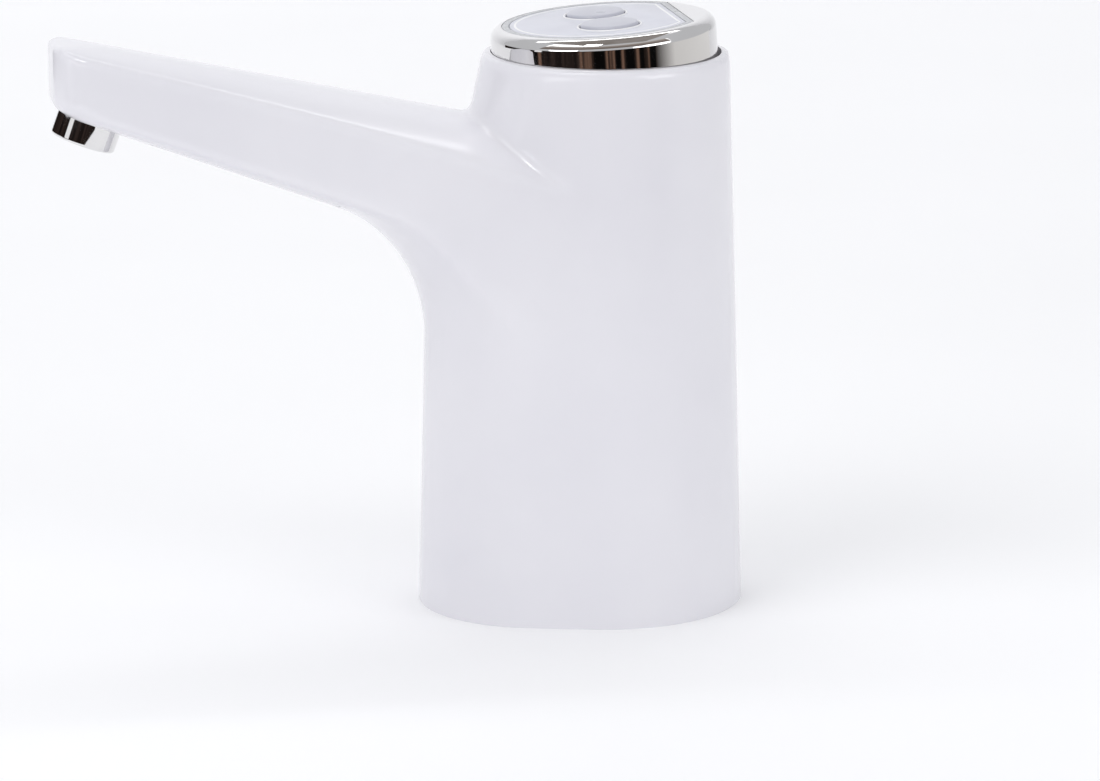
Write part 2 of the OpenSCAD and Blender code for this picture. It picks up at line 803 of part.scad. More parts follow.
// Motor: can, magnets, end cap, bushes and terminals stand still; shaft and armature turn
can_wall = 0.9;
bush_r = 2.65;
bush_len = 4;
end_cap_t = 2;
end_spigot = 2.5;
end_boss_r = 4.2;
end_boss_h = 1;
shaft_spare = 0.8;
armature_r = 8.6;
armature_h = 17;
armature_z = motor_z + 5;
commutator_r = 3;
commutator_h = 4.5;
commutator_z = armature_z + armature_h + 1;
magnet_t = 2;
magnet_h = 22;
magnet_arc = 140;
terminal_y = 6.5;
terminal_t = 0.5;
terminal_w = 2.2;
terminal_rise = 3;

module motor_shaft() {
    top = motor_top + end_cap_t + end_boss_h + shaft_spare;
    color(steel) translate([0, 0, shaft_foot]) cylinder(r = shaft_r, h = top - shaft_foot);
}

module armature() {
    slot_w = 1.6;
    color(steel) difference() {
        union() {
            translate([0, 0, armature_z]) cylinder(r = armature_r, h = armature_h);
            translate([0, 0, armature_z])
                cylinder(r = commutator_r, h = commutator_z + commutator_h - armature_z);
        }
        for (a = cup_angles) rotate(a) translate([commutator_r + 1, -slot_w / 2, armature_z - 1])
            cube([armature_r, slot_w, armature_h + 2]);
        translate([0, 0, armature_z - 1]) cylinder(r = shaft_r + 0.02, h = motor_len);
    }
}

module motor_can() {
    color(steel) difference() {
        union() {
            translate([0, 0, motor_z]) cylinder(r = motor_r, h = motor_len);
            translate([0, 0, motor_z - motor_boss_h]) cylinder(r = motor_boss_r, h = motor_boss_h + 1);
        }
        translate([0, 0, motor_z + can_wall]) cylinder(r = motor_r - can_wall, h = motor_len);
        translate([0, 0, motor_z - motor_boss_h - 1]) cylinder(r = bush_r + 0.05, h = motor_boss_h + 3);
    }
}

module motor_magnets() {
    outer = motor_r - can_wall - seat_gap;
    color("#55555a") for (a = [0, 180]) rotate(a - magnet_arc / 2)
        translate([0, 0, motor_z + 3]) rotate_extrude(angle = magnet_arc)
            translate([outer - magnet_t, 0]) square([magnet_t, magnet_h]);
}

terminal_cut = 10;

module motor_end_cap() {
    spigot_out = motor_r - can_wall - seat_gap;
    color("#e9e9ea") difference() {
        union() {
            translate([0, 0, motor_top]) cylinder(r = motor_r, h = end_cap_t);
            translate([0, 0, motor_top]) cylinder(r = end_boss_r, h = end_cap_t + end_boss_h);
            translate([0, 0, motor_top - end_spigot]) tube(spigot_out, spigot_out - 2, end_spigot + 1);
        }
        cylinder(r = bush_r + 0.05, h = motor_top + cut_spare);
        for (side = [-1, 1]) translate([0, side * terminal_y, motor_top])
            cube([terminal_w + 0.2, terminal_t + 0.2, terminal_cut], center = true);
    }
}

module motor_bushes() {
    color(brass) {
        translate([0, 0, motor_z - motor_boss_h]) tube(bush_r, shaft_r + shaft_gap, bush_len);
        translate([0, 0, motor_top + end_cap_t + end_boss_h - bush_len])
            tube(bush_r, shaft_r + shaft_gap, bush_len);
    }
}

// Brass strips through the end cap, each with a brush arm beside the commutator
module motor_terminals() {
    low = commutator_z + 1;
    high = motor_top + end_cap_t + terminal_rise;
    color(brass) for (side = [0, 180]) rotate(side) {
        translate([-terminal_w / 2, terminal_y - terminal_t / 2, low])
            cube([terminal_w, terminal_t, high - low]);
        translate([-terminal_w / 2, commutator_r + move_gap, low])
            cube([terminal_w, terminal_y - commutator_r - move_gap, 1.4]);
    }
}

// Wires: straight rods with round elbows
wire_r = 0.7;
module rod(p, q, r) {
    d = q - p;
    translate(p) rotate([0, acos(d[2] / norm(d)), atan2(d[1], d[0])]) cylinder(r = r, h = norm(d));
}

board_low = -10.6;
board_t = 1.6;
function cap_point(x, y, z) = [
    x * cos(cap_tilt) - z * sin(cap_tilt) - cap_shift,
    y,
    x * sin(cap_tilt) + z * cos(cap_tilt) + rim_z + cap_rise
];
// Height of the panel board's underside over a point of the xy plane, less a small gap
function board_under(x) = cap_point(0, 0, board_low)[2] + (x + cap_shift) * tan(cap_tilt) - 0.6;

module motor_leads() {
    foot = motor_top + end_cap_t + terminal_rise;
    color("#b03030") for (side = [-1, 1])
        translate([0, side * terminal_y, foot]) cylinder(r = wire_r, h = board_under(0) - foot);
}

// Battery: one cell with welded tabs, in an open cradle on the deck
cradle_floor = 1.5;
cradle_wall = 1.5;
cradle_h = 44;
cradle_mouth = 12;
tab_t = 0.4;
tab_r = 5;
lead_x = pump_r + 1.4;
lead_y = 3.5;
lead_rise = 12;
lead_reach = 15;
cell_z = deck_top + cradle_floor + tab_t;
cell_top = cell_z + cell_len;

module battery_cell() {
    color("#2f7fa6") translate([-cell_x, 0, cell_z]) cylinder(r = cell_r, h = cell_len);
}

module battery_tabs() {
    color(steel) {
        translate([-cell_x, 0, cell_z - tab_t]) cylinder(r = tab_r, h = tab_t);
        translate([-cell_x, 0, cell_z - tab_t])
            cube([cell_x - lead_x + wire_r, lead_y + wire_r, tab_t]);
        translate([-cell_x, 0, cell_top]) cylinder(r = tab_r, h = tab_t);
    }
}

module battery_cradle() {
    bore = cell_r + drop_gap;
    color(inner_white) translate([-cell_x, 0, deck_top]) difference() {
        cylinder(r = bore + cradle_wall, h = cradle_h);
        translate([0, 0, cradle_floor]) cylinder(r = bore, h = cradle_h);
        translate([0, -cradle_mouth / 2, cradle_floor]) cube([2 * bore, cradle_mouth, cradle_h]);
    }
}

module battery_leads() {
    lead_bend = [-cell_x, 0, cell_top + lead_rise];
    lead_end = [-lead_reach, -lead_y, board_under(-lead_reach)];
    color("#333336") {
        translate([-lead_x, lead_y, cell_z])
            cylinder(r = wire_r, h = board_under(-lead_x) - cell_z);
        rod([-cell_x, 0, cell_top + tab_t], lead_bend, wire_r);
        translate(lead_bend) sphere(wire_r, $fn = 32);
        rod(lead_bend, lead_end - [0, 0, 1], wire_r);
    }
}

// Charging board at the back, with its port in the shell's slot
charge_board_x = 21;
charge_board_t = 1.6;
charge_board_w = 20;
charge_board_h = 23;
port_foot = charge_board_x + charge_board_t;
port_skin = 0.35;

module charge_board() {
    color(board_green) translate([charge_board_x, -charge_board_w / 2, deck_top])
        cube([charge_board_t, charge_board_w, charge_board_h]);
}

module charge_port() {
    color(steel) translate([port_foot, 0, port_z]) rotate([0, 90, 0]) difference() {
        linear_extrude(port_x - port_foot) slot_face(port_w, port_h);
        translate([0, 0, 1])
            linear_extrude(port_x)
                slot_face(port_w - 2 * port_skin, port_h - 2 * port_skin);
    }
}

module charge_tongue() {
    tongue_t = 0.7;
    tongue_w = port_w - 2.4;
    color(rubber) translate([port_foot + 1, -tongue_w / 2, port_z - tongue_t / 2])
        cube([port_x - port_foot - 2.5, tongue_w, tongue_t]);
}

// Flat cable from the charging board up to the panel board
ribbon_t = 0.4;
ribbon_w = 8;
ribbon_rise = 18;
ribbon_low = deck_top + ribbon_rise;
connector_h = 2;
connector_x = charge_board_x - ribbon_t / 2;

module panel_ribbon() {
    high = board_under(connector_x) - connector_h;
    color("#d8d8d0") translate([charge_board_x - ribbon_t, -ribbon_w / 2, ribbon_low])
        cube([ribbon_t, ribbon_w, high - ribbon_low]);
}

module ribbon_connector() {
    size = [2, ribbon_w + 1, connector_h];
    color("#e9e9ea")
        on_cap()
            translate([charge_board_x - size[0] / 2, -size[1] / 2, board_low - size[2]])
                cube(size);
}

// Chromed cap: a shallow cup turned about its own tilted axis, with a recess for the panel
board_post_r = 2.2;
board_posts = [[-17, 0], [14, 12], [14, -12]];
board_screw_r = 0.9;
board_screw_grip = 5;
board_top = board_low + board_t;

module panel_face(inset) {
    intersection() {
        circle(panel_r - inset);
        translate([-2 * panel_r, -panel_r]) square([2 * panel_r + panel_chord - inset, 2 * panel_r]);
    }
}

module at_buttons() {
    for (side = [-1, 1]) translate([0, side * button_pitch / 2, 0]) children();
}

module at_board_posts() {
    for (p = board_posts) translate([p[0], p[1], 0]) children();
}

module chrome_cap() {
    color(chrome) on_cap() difference() {
        union() {
            rotate_extrude() {
                translate([cap_r - cap_edge_r, -cap_edge_r]) intersection() {
                    circle(cap_edge_r);
                    square(cap_edge_r);
                }
                translate([0, -cap_wall]) square([cap_r - cap_edge_r, cap_wall]);
                translate([cap_r - cap_edge_r, -cap_wall - 1.5]) square([cap_edge_r - cap_wall, 1.5]);
                translate([cap_r - cap_wall, -cap_depth]) square([cap_wall, cap_depth - cap_edge_r]);
            }
            at_board_posts()
                translate([0, 0, board_top])
                    cylinder(r = board_post_r, h = -board_top - cap_wall + 0.5);
        }
        translate([0, 0, -panel_t]) linear_extrude(panel_t + 1) panel_face(-seat_gap);
        at_buttons() translate([0, 0, -cap_wall - 1]) cylinder(r = button_r + move_gap, h = cap_wall + 2);
        at_board_posts()
            translate([0, 0, board_top - 1])
                cylinder(r = board_screw_r + 0.05, h = board_screw_grip + 1);
    }
}

// Panel: a bezel with one straight side, and the field inside it
line_gap = 0.15;
module panel_bezel() {
    color("#8d8f9b") on_cap() translate([0, 0, -panel_t]) linear_extrude(panel_t) difference() {
        panel_face(0);
        panel_face(bezel_w);
    }
}

module control_panel() {
    color("#c6c7d2") on_cap() translate([0, 0, -panel_t]) linear_extrude(panel_t) difference() {
        panel_face(bezel_w + line_gap);
        at_buttons() circle(button_r + move_gap);
    }
}

// A button: a domed disc with a flange that the cap holds down and a stem over its switch
button_flange_r = button_r + 1;
button_flange_t = 1;
button_foot = -cap_wall - move_gap - button_flange_t;
stem_len = 1.1;
button_stem_r = 2;
dome_start = 0.2;

module button(side) {
    dome_h = button_dome - dome_start;
    dome_r = (button_r * button_r + dome_h * dome_h) / (2 * dome_h);
    on_cap() translate([0, side * button_pitch / 2, 0]) {
        translate([0, 0, button_foot]) cylinder(r = button_flange_r, h = button_flange_t);
        translate([0, 0, button_foot]) cylinder(r = button_r, h = dome_start - button_foot);
        translate([0, 0, button_foot - stem_len]) cylinder(r = button_stem_r, h = stem_len + 0.5);
        intersection() {
            translate([0, 0, dome_start + dome_h - dome_r]) sphere(dome_r);
            translate([0, 0, dome_start - 0.1]) cylinder(r = button_r, h = button_dome);
        }
    }
}

module left_button() {
    color("#d2d3dc") button(1);
}

module right_button() {
    color("#d2d3dc") button(-1);
}

// Switch under each button: a square body with a plunger that the button's stem pushes
plunger_r = 1.75;
plunger_len = 2;
plunger_top = button_foot - stem_len;
switch_w = 6;
switch_top = plunger_top - button_travel - 0.2;

module plunger(side) {
    color(rubber) on_cap() translate([0, side * button_pitch / 2, plunger_top - plunger_len])
        cylinder(r = plunger_r, h = plunger_len);
}

module switch_body(side) {
    color(steel) on_cap() translate([0, side * button_pitch / 2, 0]) difference() {
        translate([-switch_w / 2, -switch_w / 2, board_top])
            cube([switch_w, switch_w, switch_top - board_top]);
        translate([0, 0, plunger_top - plunger_len - button_travel - move_gap])
            cylinder(r = plunger_r + move_gap, h = 2 * plunger_len);
    }
}

module left_plunger() {
    plunger(1);
}

module right_plunger() {
    plunger(-1);
}

module left_switch() {
    switch_body(1);
}

module right_switch() {
    switch_body(-1);
}

module panel_board() {
    board_r = 22.5;
    color(board_green) on_cap() difference() {
        translate([0, 0, board_low]) cylinder(r = board_r, h = board_t);
        at_board_posts()
            translate([0, 0, board_low - 1])
                cylinder(r = board_screw_r + 0.2, h = board_t + 2);
    }
}

module board_screws() {
    head_h = 1;
    color(steel) on_cap() at_board_posts() {
        translate([0, 0, board_low - head_h]) cylinder(r = 2 * board_screw_r, h = head_h);
        translate([0, 0, board_low - 0.5]) cylinder(r = board_screw_r, h = board_t + board_screw_grip);
    }
}

// Nozzle: an elbow on the cover's boss, clamped by the ring that holds the aerator and its washer
joint_rise = 7.5;
joint_r = 5.3;
elbow_r = 4.8;
joint_at = along(nozzle_at, [sin(under_slope), 0, cos(under_slope)], joint_rise);
elbow_flange_t = 1.6;
washer_t = 1.2;
aerator_t = 2.5;
ring_lip = 1;
shoulder_len = elbow_flange_r + 0.6;
shoulder_r = 4.4;
hose_grip = 12;
nozzle_spigot_len = shoulder_len + hose_grip;

// Path of the hose: up from the pump, round a bend, and straight to the nozzle, in one upright plane
hose_span = norm([joint_at[0] - hose_foot[0], hose_foot[1]]);
hose_heading = atan2(-hose_foot[1], joint_at[0] - hose_foot[0]);
hose_sweep = 90 - hose_slope;
hose_start = pump_z + pump_cover_h;
bend_run = hose_bend_r * (1 - cos(hose_sweep));
bend_rise = hose_bend_r * sin(hose_sweep);
bend_z = joint_at[2] - (hose_span - bend_run) * tan(hose_slope) - bend_rise;

// Frame at the nozzle's elbow, with +Z back along the hose
module on_hose_end() {
    translate(joint_at) rotate([0, 0, hose_heading]) rotate([0, -90 - hose_slope, 0]) children();
}

// Stations of the hose: a point on its middle line, and how far the line has turned from upright
hose_sides = 24;
bend_steps = 8;
hose_ahead = [cos(hose_heading), sin(hose_heading), 0];
hose_foot_at = [hose_foot[0], hose_foot[1], 0];
function bend_station(a) = [
    hose_foot_at + hose_ahead * hose_bend_r * (1 - cos(a)) + [0, 0, bend_z + hose_bend_r * sin(a)],
    a
];
hose_line = concat(
    [[hose_foot_at + [0, 0, hose_start], 0]],
    [for (i = [0:bend_steps]) bend_station(hose_sweep * i / bend_steps)],
    [[joint_at - (hose_ahead * cos(hose_slope) + [0, 0, sin(hose_slope)]) * shoulder_len, hose_sweep]]
);
function hose_ring(st, r) = [for (k = [0:hose_sides - 1])
    let (across = r * cos(360 * k / hose_sides))
    let (up = r * sin(360 * k / hose_sides))
    st[0] + [-hose_ahead[1], hose_ahead[0], 0] * across
        + hose_ahead * up * cos(st[1]) - [0, 0, up * sin(st[1])]];

module outlet_hose() {
    n = hose_sides;
    m = len(hose_line);
    bore = hose_spigot_r + 0.05;
    points = concat(
        [for (st = hose_line, p = hose_ring(st, hose_r)) p],
        [for (st = hose_line, p = hose_ring(st, bore)) p]
    );
    inner = n * m;
    skin = [for (k = [0:m - 2], i = [0:n - 1])
        let (j = (i + 1) % n)
        [k * n + i, k * n + j, (k + 1) * n + j, (k + 1) * n + i]];
    wall = [for (f = skin) [inner + f[3], inner + f[2], inner + f[1], inner + f[0]]];
    low = [for (i = [0:n - 1]) let (j = (i + 1) % n) [inner + i, inner + j, j, i]];
    high = [for (f = low) [for (q = [3:-1:0]) f[q] + (m - 1) * n]];
    quads = concat(skin, wall, low, high);
    corners = [[0, 1, 2], [0, 2, 3]];
    color(silicone)
        polyhedron(points, [for (f = quads, t = corners) [for (q = t) f[q]]], convexity = 8);
}

clip_w = 4;
clip_t = 0.8;
module hose_clip() {
    tube(hose_r + 0.05 + clip_t, hose_r + 0.05, clip_w);
}

module hose_clips() {
    color(steel) {
        translate([hose_foot[0], hose_foot[1], hose_start + 2.5]) hose_clip();
        on_hose_end() translate([0, 0, shoulder_len + 2.5]) hose_clip();
    }
}

module nozzle_body() {
    neck = nozzle_r - nozzle_wall - seat_gap;
    color(inner_white) difference() {
        union() {
            on_nozzle() {
                cylinder(r = neck, h = nozzle_seat + 1);
                translate([0, 0, nozzle_seat]) cylinder(r = elbow_flange_r, h = elbow_flange_t);
                cylinder(r = elbow_r, h = joint_rise);
            }
            translate(joint_at) sphere(joint_r);
            on_hose_end() cylinder(r = shoulder_r, h = shoulder_len);
            on_hose_end() cylinder(r = hose_spigot_r, h = nozzle_spigot_len);
        }
        on_nozzle() translate([0, 0, -1]) cylinder(r = water_bore, h = joint_rise + 1);
        translate(joint_at) sphere(water_bore + 0.4);
        on_hose_end() cylinder(r = water_bore, h = nozzle_spigot_len + 1);
    }
}

module nozzle_ring() {
    bore = nozzle_r - nozzle_wall;
    color(chrome) on_nozzle() difference() {
        translate([0, 0, -nozzle_drop]) cylinder(r = nozzle_r, h = nozzle_drop + nozzle_seat);
        translate([0, 0, -nozzle_drop + ring_lip]) cylinder(r = bore, h = nozzle_drop + nozzle_seat);
        translate([0, 0, -nozzle_drop - 1]) cylinder(r = bore - ring_lip, h = nozzle_drop);
    }
}

module aerator() {
    pitch = 2.6 * aerator_hole_r;
    color("#b9bcc2") on_nozzle() translate([0, 0, ring_lip - nozzle_drop]) difference() {
        cylinder(r = nozzle_r - nozzle_wall - seat_gap, h = aerator_t);
        for (turn = [0:60:300], step = [0:2]) rotate(turn)
            translate([pitch * (step + 1), 0, -1]) cylinder(r = aerator_hole_r, h = aerator_t + 2);
        translate([0, 0, -1]) cylinder(r = aerator_hole_r, h = aerator_t + 2);
    }
}

module nozzle_seal() {
    low = ring_lip + aerator_t - nozzle_drop;
    color(rubber) on_nozzle() translate([0, 0, low])
        tube(nozzle_r - nozzle_wall - seat_gap, nozzle_r - nozzle_wall - 2.2, -low);
}

housing();
spout_cover();
base_socket();
neck_seal();
deck();
base_screws();
suction_spigot();
inlet_oring();
pump_cradle();
pump_damper();
pump_cover();
outlet_valve();
valve_plate();
inlet_valves();
diaphragm();
pump_body();
pump_screws();
wobble_plate();
drive_pin();
eccentric_wheel();
motor_shaft();
armature();
motor_can();
motor_magnets();
motor_end_cap();
motor_bushes();
motor_terminals();
motor_leads();
battery_cell();
battery_tabs();
battery_cradle();
battery_leads();
charge_board();
charge_port();
charge_tongue();
panel_ribbon();
ribbon_connector();
chrome_cap();
panel_bezel();
control_panel();
left_button();
right_button();
left_plunger();
right_plunger();
left_switch();
right_switch();
panel_board();
board_screws();
outlet_hose();
hose_clips();
nozzle_body();
nozzle_seal();
aerator();
nozzle_ring();
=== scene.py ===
# %% [markdown]
# An electric water jug pump: a glossy white moulding with a long spout, a chromed cap that
# holds two push-buttons, and a small chromed nozzle. The CAD solids give every place and
# size. This script dresses them: it rounds the moulded edges, turns the chromed pieces
# afresh so that their reflections run clean, and gives each piece the finish of its material.

# %% Load the solids
import json
import math

import bmesh
import bpy
from mathutils import Matrix, Vector


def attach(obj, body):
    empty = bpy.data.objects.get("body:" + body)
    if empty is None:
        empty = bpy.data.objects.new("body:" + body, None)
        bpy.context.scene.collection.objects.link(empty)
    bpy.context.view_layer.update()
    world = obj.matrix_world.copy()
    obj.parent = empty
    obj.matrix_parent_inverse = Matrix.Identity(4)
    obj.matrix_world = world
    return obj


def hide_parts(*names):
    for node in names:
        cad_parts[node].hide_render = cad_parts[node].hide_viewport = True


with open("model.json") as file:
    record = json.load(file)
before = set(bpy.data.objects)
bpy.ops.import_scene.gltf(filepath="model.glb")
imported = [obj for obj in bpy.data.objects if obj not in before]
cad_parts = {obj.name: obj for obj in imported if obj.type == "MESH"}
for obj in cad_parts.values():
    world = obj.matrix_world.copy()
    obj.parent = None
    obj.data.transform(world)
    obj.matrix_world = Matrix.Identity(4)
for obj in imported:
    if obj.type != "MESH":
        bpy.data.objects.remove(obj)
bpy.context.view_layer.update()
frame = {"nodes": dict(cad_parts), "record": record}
MM = 0.001

# %% [markdown]
# The photograph was taken from a little above and a little to the spout's side, through a
# long lens, so upright lines stay almost parallel. A long lens far away gives the same look.

# %% Camera
azimuth, elevation, distance = math.radians(-11.0), math.radians(13.4), 1.227
focal_px, picture_px, film_mm = 5000, 1100, 36
target = Vector((-13.8, 0.0, 52.03)) * MM
flat = math.cos(elevation)
back = Vector((math.sin(azimuth) * flat, -math.cos(azimuth) * flat, math.sin(elevation)))
camera = bpy.data.objects.new("camera", bpy.data.cameras.new("camera"))
camera.data.lens = focal_px / picture_px * film_mm
camera.data.sensor_width = film_mm
camera.data.clip_start, camera.data.clip_end = 0.01, 20
camera.location = target + back * distance
camera.rotation_euler = back.to_track_quat("Z", "Y").to_euler()
bpy.context.scene.collection.objects.link(camera)
bpy.context.scene.camera = camera
print("camera at", [round(v, 3) for v in camera.location])

# %% [markdown]
# Materials are built from nodes, so one small function that adds a node, sets its values and
# links its inputs keeps the recipes short. Colours are written as sRGB hex values, as a
# paint chart gives them, and turned to the linear values that the shader needs.

# %% Helpers for materials


def linear(code):
    """A hex colour through the curve of the sRGB standard."""
    parts = [int(code[i:i + 2], 16) / 255 for i in (1, 3, 5)]
    return [p / 12.92 if p <= 0.04045 else ((p + 0.055) / 1.055) ** 2.4 for p in parts] + [1.0]


def add(tree, kind, links=(), inputs=(), **settings):
    """One node: links feed its sockets, inputs are its sockets' values, settings its properties."""
    node = tree.nodes.new("ShaderNode" + kind)
    for name, value in settings.items():
        setattr(node, name, value)
    for name, value in dict(inputs).items():
        node.inputs[name].default_value = value
    for name, source in dict(links).items():
        tree.links.new(source, node.inputs[name])
    return node


def finish(name, dark, light, rough, patch_mm, grain_mm, depth_mm, ior=1.5, metallic=0.0):
    """A surface that wanders between two shades and two roughnesses, with a fine grain."""
    material = bpy.data.materials.new(name)
    material.use_nodes = True
    tree = material.node_tree
    shader = tree.nodes["Principled BSDF"]
    where = {"Vector": add(tree, "TexCoord").outputs["Object"]}
    low, high = 0.3, 0.7  # noise seldom leaves this band
    patches = add(tree, "TexNoise", where, {"Scale": 1000 / patch_mm, "Detail": 3.0}).outputs[0]
    tint = add(tree, "ValToRGB", {"Fac": patches})
    for element, place, colour in zip(tint.color_ramp.elements, (low, high), (dark, light)):
        element.position, element.color = place, linear(colour)
    band = {"From Min": low, "From Max": high, "To Min": rough[0], "To Max": rough[1]}
    gloss = add(tree, "MapRange", {"Value": patches}, band)
    grain = add(tree, "TexNoise", where, {"Scale": 1000 / grain_mm, "Detail": 2.0}).outputs[0]
    bump = add(tree, "Bump", {"Height": grain}, {"Strength": 1.0, "Distance": depth_mm * MM})
    tree.links.new(tint.outputs["Color"], shader.inputs["Base Color"])
    tree.links.new(gloss.outputs["Result"], shader.inputs["Roughness"])
    tree.links.new(bump.outputs["Normal"], shader.inputs["Normal"])
    shader.inputs["Metallic"].default_value = metallic
    shader.inputs["IOR"].default_value = ior
    return material


# %% [markdown]
# Each finish starts from the real stuff. ABS from a polished mould is glossy with a faint
# waviness, the orange peel that a long highlight shows. Chrome plate is a mirror with hardly
# any grain. The panel is printed polycarbonate with a satin face. The pieces inside keep
# plain shop finishes: steel, brass, rubber, silicone and green board.

# %% Finishes
materials = {
    # Injection-moulded ABS from a polished mould: glossy cool white, with faint waves 4 mm across
    "white_abs": finish(
        "glossy white ABS", "#E0DFE5", "#E5E4E9", (0.14, 0.20), 40, 4.0, 0.002, 1.53),
    # The same plastic from a plain mould: duller, with a fine even grain
    "inner_abs": finish(
        "plain white ABS", "#D8D8DC", "#E2E2E5", (0.38, 0.50), 25, 0.6, 0.01, 1.53),
    # Bright chrome plate on moulded ABS: a mirror with the faintest haze
    "chrome_plate": finish(
        "bright chrome plate", "#DBDADA", "#E5E4E4", (0.03, 0.06), 30, 6.0, 0.001, metallic=1.0),
    # Acetal with a moulded matt face
    "aerator_plastic": finish(
        "grey acetal", "#A9ABB0", "#B8BABE", (0.35, 0.5), 6, 0.4, 0.01, 1.48),
    # Printed polycarbonate: the darker border of the panel
    "panel_bezel_grey": finish(
        "grey printed polycarbonate", "#B0B2B6", "#BABCBF", (0.24, 0.3), 8, 0.5, 0.003, 1.58),
    # Printed polycarbonate: the pale field, with a satin grain
    "panel_grey": finish(
        "lilac-grey printed polycarbonate", "#CDCED8", "#D8D9E2", (0.28, 0.40), 10, 0.4, 0.003,
        1.58),
    # Moulded buttons with a satin face
    "button_grey": finish(
        "pale grey satin ABS", "#B9BAC5", "#BFC0CA", (0.27, 0.31), 8, 0.5, 0.003, 1.53),
    # Nitrile rubber, moulded, with a dusty bloom
    "seal_rubber": finish(
        "black nitrile rubber", "#1D1D1F", "#29292B", (0.6, 0.8), 6, 0.5, 0.02, 1.52),
    # Silicone rubber: milky, with a soft shine
    "silicone": finish(
        "milky silicone", "#CDD2D5", "#DCE0E2", (0.35, 0.5), 10, 0.6, 0.01, 1.41),
    # Glass-filled nylon of the pump: black with a dull grain
    "pump_plastic": finish(
        "black glass-filled nylon", "#161617", "#232325", (0.45, 0.6), 8, 0.4, 0.01, 1.53),
    # Zinc-plated steel of screws, clips and the motor's can: bright with a cloudy haze
    "steel": finish(
        "zinc-plated steel", "#9C9FA4", "#B4B7BB", (0.22, 0.36), 6, 0.3, 0.003, metallic=1.0),
    # Turned brass
    "brass": finish(
        "turned brass", "#B8924A", "#CBAA63", (0.2, 0.32), 5, 0.3, 0.003, metallic=1.0),
    # Pressed ferrite of the magnets: charcoal with a gritty grain
    "ferrite": finish(
        "pressed ferrite", "#333335", "#434346", (0.55, 0.7), 4, 0.3, 0.02, 1.6),
    # Glass-epoxy board under green lacquer: the weave shows as a faint unevenness
    "board_laminate": finish(
        "green glass-epoxy board", "#1F5638", "#2B6A48", (0.3, 0.42), 5, 0.5, 0.004, 1.55),
    # Shrunk PVC sleeve of the cell: a skin with slack ripples
    "cell_sleeve": finish(
        "blue shrink sleeve", "#256F92", "#2F82A8", (0.25, 0.38), 12, 1.5, 0.02, 1.54),
    # PVC sheath of the wires
    "wire_sheath": finish(
        "grey PVC sheath", "#4A4A4C", "#5A5A5C", (0.4, 0.55), 6, 0.6, 0.01, 1.54),
}
# Screen print on polycarbonate: an opaque white ink with a satin skin
white_print = finish(
    "white screen print", "#F0F0F1", "#F8F8F8", (0.28, 0.4), 8, 0.5, 0.002)
for row in frame["record"]["subparts"]:
    solid = frame["nodes"][row["node"]]
    solid.data.materials.clear()
    solid.data.materials.append(materials[row["material_slot"]])
print("finishes:", len(materials))

# %% [markdown]
# The pieces are drawn in millimetres, as on a workshop drawing, and scaled to metres when
# they become objects. Modifiers cut, join and thicken them. They are applied at once, so
# that each piece is a plain mesh at the origin, like the solid that it stands for.

# %% Helpers for meshes


def mix(a, b, t):
    return a + (b - a) * t


def verts_in(geom):
    return [item for item in geom if isinstance(item, bmesh.types.BMVert)]


def to_object(name, bm, unit=1.0):
    """Makes a mesh an object. MM is the unit of a mesh that is drawn in millimetres."""
    bmesh.ops.scale(bm, vec=(unit, unit, unit), verts=bm.verts)
    mesh = bpy.data.meshes.new(name)
    bm.to_mesh(mesh)
    bm.free()
    obj = bpy.data.objects.new(name, mesh)
    bpy.context.scene.collection.objects.link(obj)
    return obj


def modify(obj, kind, **settings):
    modifier = obj.modifiers.new(kind.lower(), kind)
    for name, value in settings.items():
        setattr(modifier, name, value)


def boolean(obj, operation, other):
    modify(obj, "BOOLEAN", operation=operation, object=other, solver="EXACT")


def bake(obj):
    """Applies the modifiers of obj to its mesh."""
    graph = bpy.context.evaluated_depsgraph_get()
    mesh = bpy.data.meshes.new_from_object(obj.evaluated_get(graph))
    obj.modifiers.clear()
    obj.data = mesh


def discard(*cutters):
    """Removes cutters that have done their work."""
    for cutter in cutters:
        bpy.data.objects.remove(cutter)


def disc_cutter(radius, low, high, matrix, segments=96):
    bm = bmesh.new()
    middle = matrix @ Matrix.Translation((0, 0, (low + high) / 2))
    bmesh.ops.create_cone(bm, cap_ends=True, segments=segments, radius1=radius, radius2=radius,
                          depth=high - low, matrix=middle)
    return to_object("disc_cutter", bm, MM)


def arc(cx, cz, r, start_deg, end_deg, n):
    turns = [math.radians(mix(start_deg, end_deg, i / n)) for i in range(n + 1)]
    return [(cx + r * math.cos(turn), cz + r * math.sin(turn)) for turn in turns]


def turned(name, profile, matrix, steps=160):
    """A profile of (radius, height) points, turned about the z axis and put in place by matrix."""
    bm = bmesh.new()
    verts = [bm.verts.new((r, 0, z)) for r, z in profile]
    edges = [bm.edges.new(pair) for pair in zip(verts, verts[1:])]
    bmesh.ops.spin(bm, geom=verts + edges, cent=(0, 0, 0), axis=(0, 0, 1), angle=math.tau,
                   steps=steps, use_merge=True)
    bmesh.ops.remove_doubles(bm, verts=bm.verts, dist=1e-4)
    bmesh.ops.recalc_face_normals(bm, faces=bm.faces)
    bmesh.ops.transform(bm, matrix=Matrix.Scale(MM, 4) @ matrix, verts=bm.verts)
    return to_object(name, bm)


def soften(obj, sharp_deg=35, weld=0.005 * MM):
    """Welds what cuts left on top of each other and shades smoothly up to edges of sharp_deg."""
    bm = bmesh.new()
    bm.from_mesh(obj.data)
    bmesh.ops.remove_doubles(bm, verts=bm.verts, dist=weld)
    bmesh.ops.dissolve_degenerate(bm, edges=bm.edges, dist=weld)
    sharp = math.radians(sharp_deg)
    for face in bm.faces:
        face.smooth = True
    for edge in bm.edges:
        edge.smooth = len(edge.link_faces) == 2 and edge.calc_face_angle() < sharp
    bm.to_mesh(obj.data)
    bm.free()


